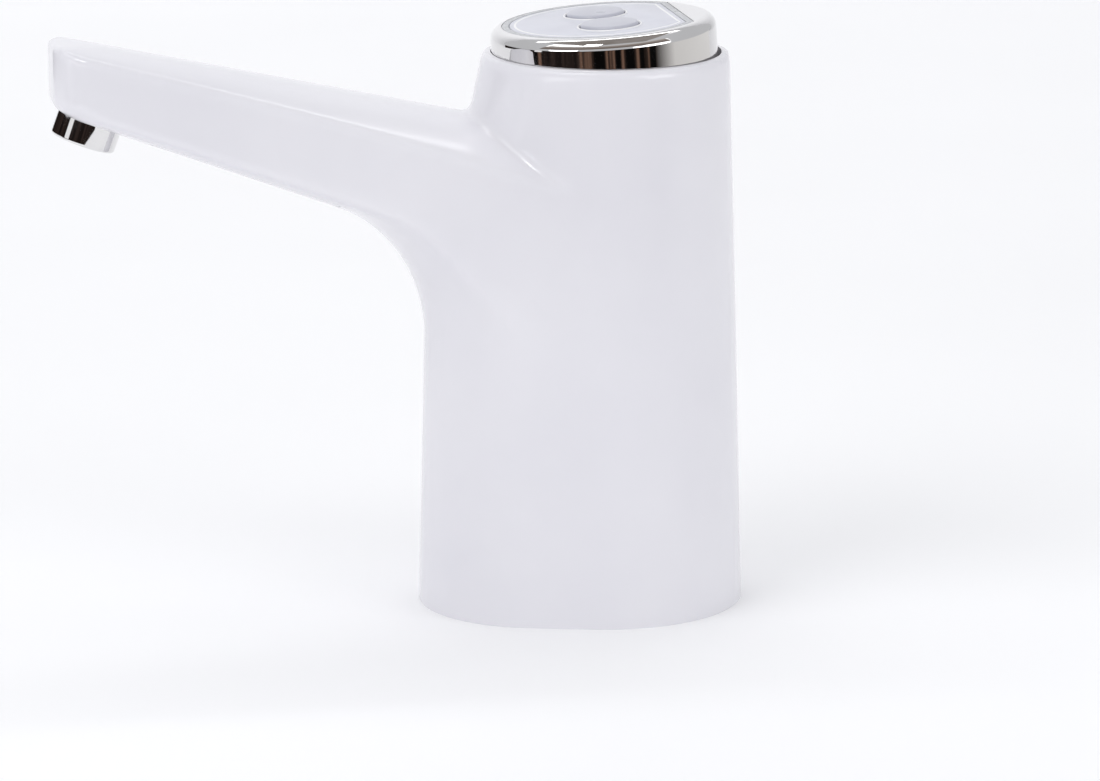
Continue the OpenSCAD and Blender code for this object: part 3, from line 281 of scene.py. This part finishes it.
def dress(obj, body, slot, *nodes, coat=None):
    """Gives a finished piece its material and its body, and hides the solids that it stands for."""
    obj.data.materials.clear()
    obj.data.materials.append(coat or materials[slot])
    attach(obj, body)
    if nodes:
        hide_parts(*nodes)
    print(obj.name, "faces:", len(obj.data.polygons))


# %% [markdown]
# The body is one moulding: a round collar, a column that swells towards the front, and a
# spout with straight sides, a crowned top and a rounded underside. Its outline at each
# height is two circles and the line that touches both, so one function gives the half-width
# at any x. The rings made from it are joined into two lofts, the column and the spout.

# %% Outline of the body, in millimetres
rim_r, rim_z, wall = 30.0, 136.0, 2.0  # the collar
knee_front, knee_rear, knee_z = 44.6, 32.1, 67.0  # where the spout leaves the column
foot_front, foot_rear, front_r = 46.3, 33.9, 29.3  # the base, and how round the front is
spout_reach, nose_half, nose_corner = 134.5, 14.0, 9.0  # the spout from above
top_z, top_slope, crown_r = 114.4, math.radians(12.3), 46.0  # its crowned top
under_r, under_slope = 37.0, math.radians(20.2)  # its underside: an arc, then a straight run
round_mid, round_end, round_nose = 37.0, 31.0, 16.5  # how round the underside is, along the spout
circle_gap, spout_sunk = 0.05, 0.3  # keep circles and walls from coinciding
tip_share = 0.4  # how much of the tip's rounding takes the finer points


def ease(t):
    return t * t * (3 - 2 * t)


def at_height(foot, knee, rim, z):
    if z < knee_z:
        return mix(foot, knee, z / knee_z)
    return mix(knee, rim, (z - knee_z) / (rim_z - knee_z))


def rear_at(z):
    return at_height(foot_rear, knee_rear, rim_r, z)


def pair_y(x, x0, r0, x1, y1, r1):
    """Half-width at x of a circle behind, a circle in front, and the line that touches both."""
    gap = math.hypot(x1 - x0, y1)
    turn = math.atan2(y1, x1 - x0) - math.acos((r0 - r1) / gap)
    if x > x0 + r0 * math.cos(turn):
        return math.sqrt(max(0.0, r0 * r0 - (x - x0) ** 2))
    if x > x1 + r1 * math.cos(turn):
        return (r0 - (x - x0) * math.cos(turn)) / math.sin(turn)
    return y1 + math.sqrt(max(0.0, r1 * r1 - (x - x1) ** 2))


def closed_ring(xs, half_width, z):
    side = [(x, half_width(x), z) for x in xs]
    return side + [(x, -y, z) for x, y, z in reversed(side)]


def column_ring(z, n=48, end_gap=2):
    """The column at height z. Its points crowd at both ends, where the outline turns most."""
    rear, nose = rear_at(z), at_height(front_r, front_r, rim_r, z)
    front = max(at_height(foot_front, knee_front, rim_r, z), nose + circle_gap)
    turns = [math.radians(end_gap + (180 - 2 * end_gap) * i / n) for i in range(n + 1)]
    xs = [mix(-front, rear, (1 - math.cos(turn)) / 2) for turn in turns]
    return closed_ring(xs, lambda x: pair_y(x, 0, rear, nose - front, 0, nose), z)


def spout_ring(tip, z, tip_round, flare, n_front=16, n_side=28, end_gap=3):
    """The spout at height z, from its tip to just inside the column's rear."""
    rear = rear_at(z) - spout_sunk

    def width(x):
        plan = pair_y(x, 0, rear, nose_corner - spout_reach, nose_half - nose_corner, nose_corner)
        return min(plan, pair_y(x, flare, rear + flare, tip + tip_round, 0, tip_round))

    low = max(tip, -spout_reach)
    fold = max(nose_corner - spout_reach, low + tip_share * tip_round)
    quarter = 90 - end_gap
    front = [math.radians(end_gap + quarter * i / n_front) for i in range(n_front + 1)]
    side = [math.radians(quarter * i / n_side) for i in range(1, n_side + 1)]
    xs = [low + (fold - low) * (1 - math.cos(turn)) for turn in front]
    xs += [fold + (rear - fold) * math.sin(turn) for turn in side]
    return closed_ring(xs, width, z)


print("points in a column ring:", len(column_ring(0)))

# %% [markdown]
# The spout's rings follow its underside: an arc that leaves the column's front, then a
# straight run up to the nose. Extruding a ring's edges and moving the new ring into place
# joins each ring to the next. Both lofts run past the real ends, where cuts follow.

# %% Lofts of column and spout
arc_rings, run_rings = 12, 8
full_flare, first_sunk = 80, 0.15
past_nose, past_top, past_base = 5, 20, 8


def loft(name, rings):
    bm = bmesh.new()
    first = bmesh.ops.create_circle(bm, cap_ends=True, segments=len(rings[0]), radius=1)
    verts = first["verts"]
    for vert, place in zip(verts, rings[0]):
        vert.co = place
    for ring in rings[1:]:
        edges = [bm.edges.get((a, b)) for a, b in zip(verts, verts[1:] + verts[:1])]
        new = set(verts_in(bmesh.ops.extrude_edge_only(bm, edges=edges)["geom"]))
        beside = [[e.other_vert(v) for e in v.link_edges] for v in verts]
        verts = [next(v for v in others if v in new) for others in beside]
        for vert, place in zip(verts, ring):
            vert.co = place
    bmesh.ops.contextual_create(bm, geom=verts)
    bmesh.ops.recalc_face_normals(bm, faces=bm.faces)
    return to_object(name, bm, MM)


arc_x, arc_sweep = -(knee_front + under_r), math.pi / 2 - under_slope
spout_rings = []
for i in range(arc_rings + 1):
    a = arc_sweep * i / arc_rings
    half = 2 * a / arc_sweep
    if half < 1:
        tip_round = mix(front_r, round_mid, ease(half))
    else:
        tip_round = mix(round_mid, round_end, ease(half - 1))
    tip = arc_x + under_r * math.cos(a) + (first_sunk if i == 0 else 0)
    z = knee_z + under_r * math.sin(a)
    spout_rings.append(spout_ring(tip, z, tip_round, full_flare * ease(a / arc_sweep)))
run_x = arc_x + under_r * math.cos(arc_sweep)
run_z = knee_z + under_r * math.sin(arc_sweep)
run_length = spout_reach + past_nose + run_x
for i in range(1, run_rings + 1):
    s = i / run_rings
    tip, z = run_x - s * run_length, run_z + s * run_length * math.tan(under_slope)
    spout_rings.append(spout_ring(tip, z, mix(round_end, round_nose, s), full_flare))
top_ring = spout_ring(-spout_reach - past_nose, rim_z + past_top, round_nose, full_flare)
spout = loft("spout", spout_rings + [top_ring])
column = loft("column", [column_ring(z) for z in (-past_base, knee_z, rim_z)])
print("faces of the spout:", len(spout.data.polygons), "column:", len(column.data.polygons))

# %% [markdown]
# The spout's top is crowned across and straight along, so a wide cylinder that lies along
# it trims the loft. At the nose the top rolls down a little: a block with a hollow curved
# face, spun about a far axis, takes off its last 15 mm.

# %% Cutters for the spout's top
crown_length, crown_middle, crown_steps = 280, -40, 240
roll_r, roll_x, roll_turn, roll_steps = 75.0, -120.0, 0.3, 12
roll_width, roll_height = 80, 30

to_top = Matrix.Translation((0, 0, top_z)) @ Matrix.Rotation(top_slope, 4, "Y")
to_crown = to_top @ Matrix.Translation((crown_middle, 0, -crown_r))
along = to_crown @ Matrix.Rotation(math.pi / 2, 4, "Y")
crown = disc_cutter(crown_r, -crown_length / 2, crown_length / 2, along, crown_steps)

out_of_top = Vector((math.sin(top_slope), 0, math.cos(top_slope)))
roll_start = Vector((roll_x, -roll_width / 2, top_z - roll_x * math.tan(top_slope)))
bm = bmesh.new()
ends = [bm.verts.new(roll_start + out_of_top * height) for height in (0, roll_height)]
bmesh.ops.spin(bm, geom=ends + [bm.edges.new(ends)], cent=roll_start - out_of_top * roll_r,
               axis=(0, 1, 0), angle=-roll_turn, steps=roll_steps)
across = bmesh.ops.extrude_face_region(bm, geom=list(bm.faces))["geom"]
bmesh.ops.translate(bm, vec=(0, roll_width, 0), verts=verts_in(across))
bmesh.ops.recalc_face_normals(bm, faces=bm.faces)
roll = to_object("roll", bm, MM)
print("faces of the crown:", len(crown.data.polygons), "roll:", len(roll.data.polygons))

# %% [markdown]
# A moulded shell has no sharp edge anywhere: the mould's own corners are rounded by two or
# three millimetres. Remeshing the joined lofts into even little squares and then smoothing
# them gives that same soft rounding to every edge at once, the fillet at the collar's root
# and the collar's lip among them. A wide hole then opens the collar inside its lip. The
# column was made longer than the real one below, so that the cut at the base comes after
# the smoothing and stays crisp.

# %% Skin of the moulding
voxel, smoothing = 0.85, 20
mouth_r, mouth_depth, mouth_steps = rim_r - wall, 6.0, 160
mouth_margin, floor_margin, upright = 0.2, 1.0, 0.2

boolean(spout, "INTERSECT", crown)
boolean(spout, "DIFFERENCE", roll)
bake(spout)
boolean(column, "UNION", spout)
modify(column, "REMESH", mode="VOXEL", voxel_size=voxel * MM)
modify(column, "SMOOTH", factor=0.5, iterations=smoothing)
mouth_ends = rim_z - mouth_depth, rim_z + mouth_depth
mouth = disc_cutter(mouth_r, *mouth_ends, Matrix.Identity(4), mouth_steps)
boolean(column, "DIFFERENCE", mouth)
bake(column)
skin = bmesh.new()
skin.from_mesh(column.data)
discard(mouth, spout, crown, roll, column)


def slice_off(bm, faces, point, normal, clear=False):
    edges, verts = {e for f in faces for e in f.edges}, {v for f in faces for v in f.verts}
    bmesh.ops.bisect_plane(bm, geom=list(set(faces) | edges | verts), plane_co=Vector(point) * MM,
                           plane_no=normal, clear_outer=clear)


def in_mouth(face):
    """True for the wall and the floor of the blind hole that opens the collar."""
    centre = face.calc_center_median() / MM
    if centre.z < rim_z - mouth_depth - floor_margin or centre.xy.length > mouth_r + mouth_margin:
        return False
    return centre.z < rim_z - mouth_depth / 2 or abs(face.normal.z) < upright


bmesh.ops.delete(skin, geom=[f for f in skin.faces if in_mouth(f)], context="FACES")
slice_off(skin, list(skin.faces), (0, 0, 0), (0, 0, -1), clear=True)
print("faces of the skin:", len(skin.faces))

# %% [markdown]
# The spout is closed from below by a separate cover. It is cut out of the same skin along
# straight lines, so that both sides of the seam follow one surface. Trimming the cover a
# little leaves the hairline that shows where two mouldings meet.

# %% Underside cover
cover_rear, cover_front, cover_in, seam = 68.0, 112.0, 3.4, 0.25
spout_from, looks_down = -55, -0.3  # the underside lies beyond this x and faces down
nose_dir = Vector((nose_corner - spout_reach, nose_half - nose_corner, 0))
side_turn = math.atan2(nose_dir.y, nose_dir.x) - math.acos((rim_r - nose_corner) / nose_dir.length)
side_normal = Vector((math.cos(side_turn), math.sin(side_turn), 0))


def middle_z(x):
    return (run_z + (run_x - x) * math.tan(under_slope) + top_z - x * math.tan(top_slope)) / 2


def on_underside(face):
    centre = face.calc_center_median() / MM
    return centre.x < spout_from and centre.z < middle_z(centre.x) and face.normal.z < looks_down


def underside():
    return [face for face in skin.faces if on_underside(face)]


edges_of_cover = [((-cover_rear, 0, 0), (1, 0, 0)), ((-cover_front, 0, 0), (-1, 0, 0))]
for mirror in (1, -1):
    normal = Vector((side_normal.x, side_normal.y * mirror, 0))
    edges_of_cover.append((normal * (rim_r - cover_in), normal))
for point, normal in edges_of_cover:
    slice_off(skin, underside(), point, normal)

mark = skin.faces.layers.int.new("cover")
for face in underside():
    centre = face.calc_center_median() / MM
    face[mark] = all((centre - Vector(p)).dot(Vector(n)) < 0 for p, n in edges_of_cover)
cover_skin = skin.copy()
for bm, keep in ((skin, 0), (cover_skin, 1)):
    layer = bm.faces.layers.int["cover"]
    bmesh.ops.delete(bm, geom=[f for f in bm.faces if f[layer] != keep], context="FACES")
for point, normal in edges_of_cover:
    inner_point = Vector(point) - Vector(normal) * seam
    slice_off(cover_skin, list(cover_skin.faces), inner_point, normal, clear=True)
print("faces of the cover:", len(cover_skin.faces))

# %% [markdown]
# The charging port sits in a slot in the column's back, and the nozzle in a round hole
# under the nose. Both are cut with simple cutters: a box whose long edges are fully
# rounded, and a cylinder that leans as the spout's underside does. The skin gets its wall
# first. Its inner side isn't seen, so that side is thinned.

# %% Openings in the shell
port_x, port_z, port_width, port_height, port_length = 31.38, 38.0, 10.2, 4.4, 20
full_round = 0.49  # of the slot's height: just short of where opposite edges would meet
inner_share = 0.56  # of the faces that the thinning leaves
nozzle_x, nozzle_hole_r, nozzle_hole_reach = 125.6, 8.0, 10
nozzle_at = Vector((-nozzle_x, 0, run_z + (run_x + nozzle_x) * math.tan(under_slope)))
to_nozzle = Matrix.Translation(nozzle_at) @ Matrix.Rotation(under_slope, 4, "Y")


def slot_cutter(width, height, length, centre):
    bm = bmesh.new()
    bmesh.ops.create_cube(bm, size=1)
    bmesh.ops.scale(bm, vec=(length, width, height), verts=bm.verts)
    long_edges = [e for e in bm.edges if abs(e.verts[0].co.x - e.verts[1].co.x) > length / 2]
    bmesh.ops.bevel(bm, geom=long_edges, offset=height * full_round, affect="EDGES", segments=8,
                    profile=0.5, material=-1)
    bmesh.ops.translate(bm, vec=centre, verts=bm.verts)
    return to_object("slot_cutter", bm, MM)


shell = to_object("housing_shell", skin)
cover = to_object("spout_cover_shell", cover_skin)
port_cut = slot_cutter(port_width, port_height, port_length, (port_x, 0, port_z))
nozzle_cut = disc_cutter(nozzle_hole_r, -nozzle_hole_reach, nozzle_hole_reach, to_nozzle)
for piece, cutters in ((shell, (port_cut, nozzle_cut)), (cover, ())):
    inside = piece.vertex_groups.new(name="inside").name
    modify(piece, "SOLIDIFY", thickness=wall * MM, offset=-1, use_even_offset=True,
           shell_vertex_group=inside)
    modify(piece, "DECIMATE", ratio=inner_share, vertex_group=inside)
    for cutter in cutters:
        boolean(piece, "DIFFERENCE", cutter)
    bake(piece)
    soften(piece)
discard(port_cut, nozzle_cut)
dress(shell, "pump", "white_abs", "housing")
dress(cover, "pump", "white_abs", "spout_cover")

# %% [markdown]
# The cap is a chromed cup with a broad rounded shoulder, pressed into the collar and tilted
# a little towards the spout. Turning a half-profile about its axis gives reflections that
# run round it without a kink. The panel lies in a recess of the same outline.

# %% Chromed cap
cap_x, cap_rise, cap_tilt = -0.9, 7.6, math.radians(-4)
cap_r, cap_edge, cap_depth, cap_wall = 27.4, 3.0, 16.0, 2.2
panel_r, panel_chord, panel_t, bezel_w = 24.4, 19.3, 1.0, 1.7
button_r, button_y, button_gap, recess_gap = 7.0, 8.5, 0.3, 0.1
hole_low, hole_high, recess_high = -5, 2, 1  # cutters reach past the faces that they cut
to_cap = Matrix.Translation((cap_x, 0, rim_z + cap_rise)) @ Matrix.Rotation(cap_tilt, 4, "Y")


def to_button(side):
    return to_cap @ Matrix.Translation((0, side * button_y, 0))


def button_holes():
    radius = button_r + button_gap
    return [disc_cutter(radius, hole_low, hole_high, to_button(side)) for side in (1, -1)]


def panel_prism(name, inset, low, high):
    """The panel's outline, a disc with one straight side, as a plate from low to high."""
    bm = bmesh.new()
    bmesh.ops.create_circle(bm, cap_ends=True, segments=192, radius=panel_r - inset)
    everything = list(bm.faces) + list(bm.edges) + list(bm.verts)
    bmesh.ops.bisect_plane(bm, geom=everything, plane_co=(panel_chord - inset, 0, 0),
                           plane_no=(1, 0, 0), clear_outer=True)
    bmesh.ops.translate(bm, vec=(0, 0, low), verts=bm.verts)
    top = bmesh.ops.extrude_face_region(bm, geom=list(bm.faces))["geom"]
    bmesh.ops.translate(bm, vec=(0, 0, high - low), verts=verts_in(top))
    bmesh.ops.recalc_face_normals(bm, faces=bm.faces)
    bmesh.ops.transform(bm, matrix=Matrix.Scale(MM, 4) @ to_cap, verts=bm.verts)
    return to_object(name, bm)


cap_inner, shoulder_r = cap_r - cap_wall, cap_r - cap_edge
profile = [(0, 0), (shoulder_r, 0)] + arc(shoulder_r, -cap_edge, cap_edge, 90, 0, 14)[1:]
profile += [(cap_r, -cap_depth), (cap_inner, -cap_depth), (cap_inner, -cap_wall), (0, -cap_wall)]
cap = turned("chrome_cap_turned", profile, to_cap, 192)
cutters = [panel_prism("recess", -recess_gap, -panel_t, recess_high)] + button_holes()
for cutter in cutters:
    boolean(cap, "DIFFERENCE", cutter)
bake(cap)
soften(cap, 30)
discard(*cutters)
dress(cap, "pump", "chrome_plate", "chrome_cap")

# %% [markdown]
# The panel is a printed plate with a darker border and a fine pale line inside it. The
# border, the line and the field are three pieces with tiny steps between them, so that each
# catches its own edge of light.

# %% Panel
line_from, line_to, field_from = bezel_w + 1.2, bezel_w + 1.8, bezel_w + 0.15
line_foot, line_proud, field_sunk = 0.1, 0.02, 0.05
through, broken_edge = 5, 0.12
bezel = panel_prism("panel_bezel_frame", 0, -panel_t, 0)
line = panel_prism("panel_line", line_from, -panel_t + line_foot, line_proud)
field = panel_prism("panel_field", field_from, -panel_t, -field_sunk)
bezel_inner = panel_prism("bezel_inner", bezel_w, -through, through)
line_inner = panel_prism("line_inner", line_to, -through, through)
holes = button_holes()
for piece, cutters in ((bezel, [bezel_inner]), (line, [line_inner]), (field, holes)):
    for cutter in cutters:
        boolean(piece, "DIFFERENCE", cutter)
    modify(piece, "BEVEL", width=broken_edge * MM, segments=2, limit_method="ANGLE",
           angle_limit=math.radians(50))
    bake(piece)
    soften(piece)
discard(bezel_inner, line_inner, *holes)
dress(bezel, "pump", "panel_bezel_grey", "panel_bezel")
dress(field, "pump", "panel_grey", "control_panel")
dress(line, "pump", "white_abs", coat=white_print)

# %% [markdown]
# Each button is a disc with a slightly crowned face and a rolled edge, whose near side is in
# shade. Below the panel it has the flange that the cap holds back and the stem that pushes
# the switch. One profile gives all of that when it is turned. The fine white ring that is
# printed on the panel round it is turned too, as a low bead that catches the light.

# %% Buttons
button_top, roll_edge, roll_from = 1.1, 0.7, 84
edge_r, edge_z = button_r - roll_edge, 0.1
flange_r, flange_top, flange_low, stem_r, stem_low = 8.0, -2.5, -3.5, 2.0, -4.6
print_in, print_mid, print_out, print_round, print_low = 7.3, 7.65, 7.95, 0.2, -0.3
face_r, face_z = arc(edge_r, edge_z, roll_edge, roll_from, 0, 1)[0]
face_round = (face_r ** 2 + (button_top - face_z) ** 2) / (2 * (button_top - face_z))
crowned = [(r, button_top - face_round + math.sqrt(face_round ** 2 - r * r))
           for r in (1, 2, 3, 4, 5, 5.8)]
profile = [(0, button_top)] + crowned + arc(edge_r, edge_z, roll_edge, roll_from, 0, 8)
profile += [(button_r, flange_top), (flange_r, flange_top), (flange_r, flange_low)]
profile += [(stem_r, flange_low), (stem_r, stem_low), (0, stem_low)]
print_profile = [(print_in, print_low)] + arc(print_mid, 0.0, print_round, 150, 30, 6)
print_profile += [(print_out, print_low), (print_in, print_low)]
for name, side in (("left", 1), ("right", -1)):
    button = turned(name + "_button_dome", profile, to_button(side), 96)
    soften(button)
    dress(button, name + "_button", "button_grey", name + "_button")
    ring = turned(name + "_button_ring", print_profile, to_button(side), 96)
    soften(ring, 60)
    dress(ring, "pump", "white_abs", coat=white_print)

# %% [markdown]
# The nozzle is a plain chromed ring with softly broken edges. It is turned from a
# half-profile, as the cap is, so that its reflections stand in straight bands. It carries
# the aerator, a disc with rows of small holes that the water leaves by.

# %% Nozzle
ring_r, ring_bore, ring_low, ring_high, ring_edge, ring_lip = 7.9, 6.3, -5.0, 3.0, 0.7, 1.0
profile = [(ring_bore, ring_high), (ring_r, ring_high)]
profile += arc(ring_r - ring_edge, ring_low + ring_edge, ring_edge, 0, -90, 6)
profile += [(ring_bore - ring_lip, ring_low), (ring_bore - ring_lip, ring_low + ring_lip)]
profile += [(ring_bore, ring_low + ring_lip), (ring_bore, ring_high)]
nozzle = turned("nozzle_ring_turned", profile, to_nozzle)
soften(nozzle, 40)
dress(nozzle, "pump", "chrome_plate", "nozzle_ring")

# %% [markdown]
# The scene is a plain photo table: a sheet of white paper that lies flat in front and
# curves up behind, so that no edge shows. Extruding one side of a square and rounding the
# fold makes the sheet.

# %% Floor
floor_half, backdrop_height, backdrop_round = 3, 3, 1.2
bm = bmesh.new()
bmesh.ops.create_grid(bm, x_segments=1, y_segments=1, size=floor_half)
far = [e for e in bm.edges if all(v.co.y > 0 for v in e.verts)]
wall_geom = bmesh.ops.extrude_edge_only(bm, edges=far)["geom"]
bmesh.ops.translate(bm, vec=(0, 0, backdrop_height), verts=verts_in(wall_geom))
bmesh.ops.bevel(bm, geom=far, offset=backdrop_round, affect="EDGES", segments=16, profile=0.5,
                material=-1)
floor = to_object("floor", bm)
for polygon in floor.data.polygons:
    polygon.use_smooth = True
paper = finish("white paper", "#FAFAFB", "#FCFCFD", (0.7, 0.8), 200, 2.0, 0.02)
floor.data.materials.append(paper)
print("floor faces:", len(floor.data.polygons))

# %% [markdown]
# A pale surround and three broad lamps light the pump softly, the strongest from above and
# the spout's side. Rectangles of light give the soft edges that such lamps have. A lamp
# behind brightens the paper, two strips draw the bright lines along the cap's shoulder, and
# a small window shows in glossy faces alone.

# %% Lights
look = math.degrees(math.atan2(back.y, back.x))
strip_r, strip_z = 0.65, 0.22


def round_about(turn_deg, radius, z):
    """A place round the object, turn_deg to the right of the camera."""
    turn = math.radians(look + turn_deg)
    return Vector((radius * math.cos(turn), radius * math.sin(turn), z))


def area_light(name, place, aim, size, power, gloss_only=False):
    """A rectangle of light that faces aim, with its size in metres and its power in watts."""
    light = bpy.data.lights.new(name, "AREA")
    light.shape, light.size, light.size_y = "RECTANGLE", *size
    light.energy = power
    obj = bpy.data.objects.new(name, light)
    obj.location = place
    obj.rotation_euler = (Vector(place) - Vector(aim)).to_track_quat("Z", "Y").to_euler()
    obj.visible_camera = False
    obj.visible_diffuse = not gloss_only
    bpy.context.scene.collection.objects.link(obj)


area_light("key", (-0.9, -0.5, 1.1), (-0.03, 0, 0.08), (0.9, 0.7), 4.5)
area_light("fill", (0.9, -0.9, 0.6), (0, 0, 0.07), (0.7, 0.9), 2.0)
area_light("top", (0.1, 0.2, 1.2), (0, 0, 0.1), (1.0, 0.8), 1.4)
area_light("window", (-0.3, -0.5, 0.95), (0, 0, 0.1), (0.22, 0.22), 1.4, gloss_only=True)
area_light("backdrop", (0, 1.2, 2.4), (0, 3, 0.6), (3.0, 0.6), 26)
area_light("left strip", round_about(-42, strip_r, strip_z), (0, 0, 0.14), (0.35, 0.09), 0.3)
area_light("right strip", round_about(46, strip_r, strip_z), (0, 0, 0.14), (0.42, 0.09), 0.35)
world = bpy.data.worlds.new("pale surround")
world.use_nodes = True
surround = world.node_tree.nodes["Background"]
surround.inputs["Color"].default_value = linear("#F4F5F8")
surround.inputs["Strength"].default_value = 0.66
bpy.context.scene.world = world
bpy.context.scene.view_settings.view_transform = "Standard"
print("lights:", len(bpy.data.lights))

# %% [markdown]
# Chrome has no colour of its own and shows what stands round it. So cards stand in for a
# room. On the camera's side a dark one with brown streaks bends round the pump and fades
# into a pale one at the right. A taupe one above it and a grey one overhead are the ceiling,
# and three small ones darken the nozzle. The cards glow by themselves and show in
# reflections alone, so they neither shade the pump nor come into the picture.

# %% Cards for the chrome
room_from, wall_from, wall_pale, wall_to = -80, 52, 74, 132  # degrees right of the camera
room_r, room_top, nozzle_card_r, nozzle_card_top = 0.6, 0.15, 0.14, 0.15
ceiling_r, ceiling_from, ceiling_sweep, ceiling_low, ceiling_top = 0.55, -70, 140, 0.3, 0.66
overhead_half, overhead_place = 0.5, (0, -0.15, 1.0)
streak_rise = 0.4  # waves per metre upwards, so that a streak runs up the whole card


def chrome_only(obj, material):
    """A card that shows in reflections alone."""
    obj.data.materials.append(material)
    obj.visible_camera = obj.visible_diffuse = obj.visible_shadow = False
    print(obj.name, "faces:", len(obj.data.polygons))


def card(name, centre, radius, start_deg, sweep_deg, low, high, material):
    """A card bent in an upright arc round a centre, from start_deg on through sweep_deg."""
    bm = bmesh.new()
    start = math.radians(start_deg)
    corner = Vector(centre) + radius * Vector((math.cos(start), math.sin(start), 0))
    ends = [bm.verts.new((corner.x, corner.y, z)) for z in (low, high)]
    bmesh.ops.spin(bm, geom=ends + [bm.edges.new(ends)], cent=centre, axis=(0, 0, 1),
                   angle=math.radians(sweep_deg), steps=48)
    chrome_only(to_object(name, bm), material)


def glowing(name, tones, streak_mm=None, kind="TexNoise", output=0, **settings):
    """A paint that needs no light. Its tones lie along the value that one node gives at a place."""
    material = bpy.data.materials.new(name)
    material.use_nodes = True
    tree = material.node_tree
    where, inputs = add(tree, "TexCoord").outputs["Object"], {}
    if streak_mm:
        stretch = (1000 / streak_mm, 1000 / streak_mm, streak_rise)
        where = add(tree, "Mapping", {"Vector": where}, {"Scale": stretch}).outputs["Vector"]
        inputs = {"Scale": 1.0, "Detail": 2.0}
    value = add(tree, kind, {"Vector": where}, inputs, **settings).outputs[output]
    ramp = add(tree, "ValToRGB", {"Fac": value})
    ramp.color_ramp.elements.remove(ramp.color_ramp.elements[1])
    for place, colour in tones:
        ramp.color_ramp.elements.new(place).color = linear(colour)
    ramp.color_ramp.elements[0].color = linear(tones[0][1])
    glow = add(tree, "Emission", {"Color": ramp.outputs["Color"]}, {"Strength": 1.0})
    tree.links.new(glow.outputs["Emission"], tree.nodes["Material Output"].inputs["Surface"])
    return material


def right_of_camera(turn_deg):
    """The value of a radial gradient at turn_deg to the right of the camera."""
    return (look + turn_deg) / 360 + 0.5


room_tones = ((0.46, "#0C0B0B"), (0.54, "#3A2E28"), (0.6, "#7A5F50"), (0.66, "#2A211E"))
wall_tones = (
    (right_of_camera(wall_from), "#2A221E"),
    (right_of_camera(wall_pale), "#DDDBD9"),
    (right_of_camera(wall_to), "#ECEBEA"),
)
ceiling_tones = ((0.32, "#6F635C"), (0.5, "#9C938D"), (0.66, "#D6D3D1"))
streaked = glowing("streaked black card", room_tones, 100)
dark = glowing("dark brown card", ((0.4, "#1A1514"), (0.7, "#3B302C")), 20)
bright = glowing("white card", ((0.3, "#FFFFFF"), (0.7, "#F4F4F6")), 20)
plain = glowing("grey overhead card", ((0.4, "#8B8580"), (0.6, "#99938F")), 200)
fading = glowing("taupe card that fades sideways", wall_tones, kind="TexGradient",
                 gradient_type="RADIAL")
rising = glowing("taupe card that fades upwards", ceiling_tones, kind="SeparateXYZ", output="Z")
middle = (0, 0, 0)
card("room card", middle, room_r, look + room_from, wall_from - room_from, 0.0, room_top, streaked)
card("wall card", middle, room_r, look + wall_from, wall_to - wall_from, 0.0, room_top, fading)
card("ceiling card", middle, ceiling_r, look + ceiling_from, ceiling_sweep, ceiling_low,
     ceiling_top, rising)
nozzle_place = (nozzle_at.x * MM, nozzle_at.y * MM, 0)
for name, start, sweep, low, paint in (
    ("left", 115, 80, 0.1105, dark),
    ("stripe", 195, 16, 0.1105, bright),
    ("front", 211, 72, 0.0825, dark),
):
    card("nozzle card " + name, nozzle_place, nozzle_card_r, start, sweep, low, nozzle_card_top,
         paint)

bm = bmesh.new()
bmesh.ops.create_grid(bm, x_segments=1, y_segments=1, size=overhead_half)
bmesh.ops.translate(bm, vec=overhead_place, verts=bm.verts)
chrome_only(to_object("overhead card", bm), plain)
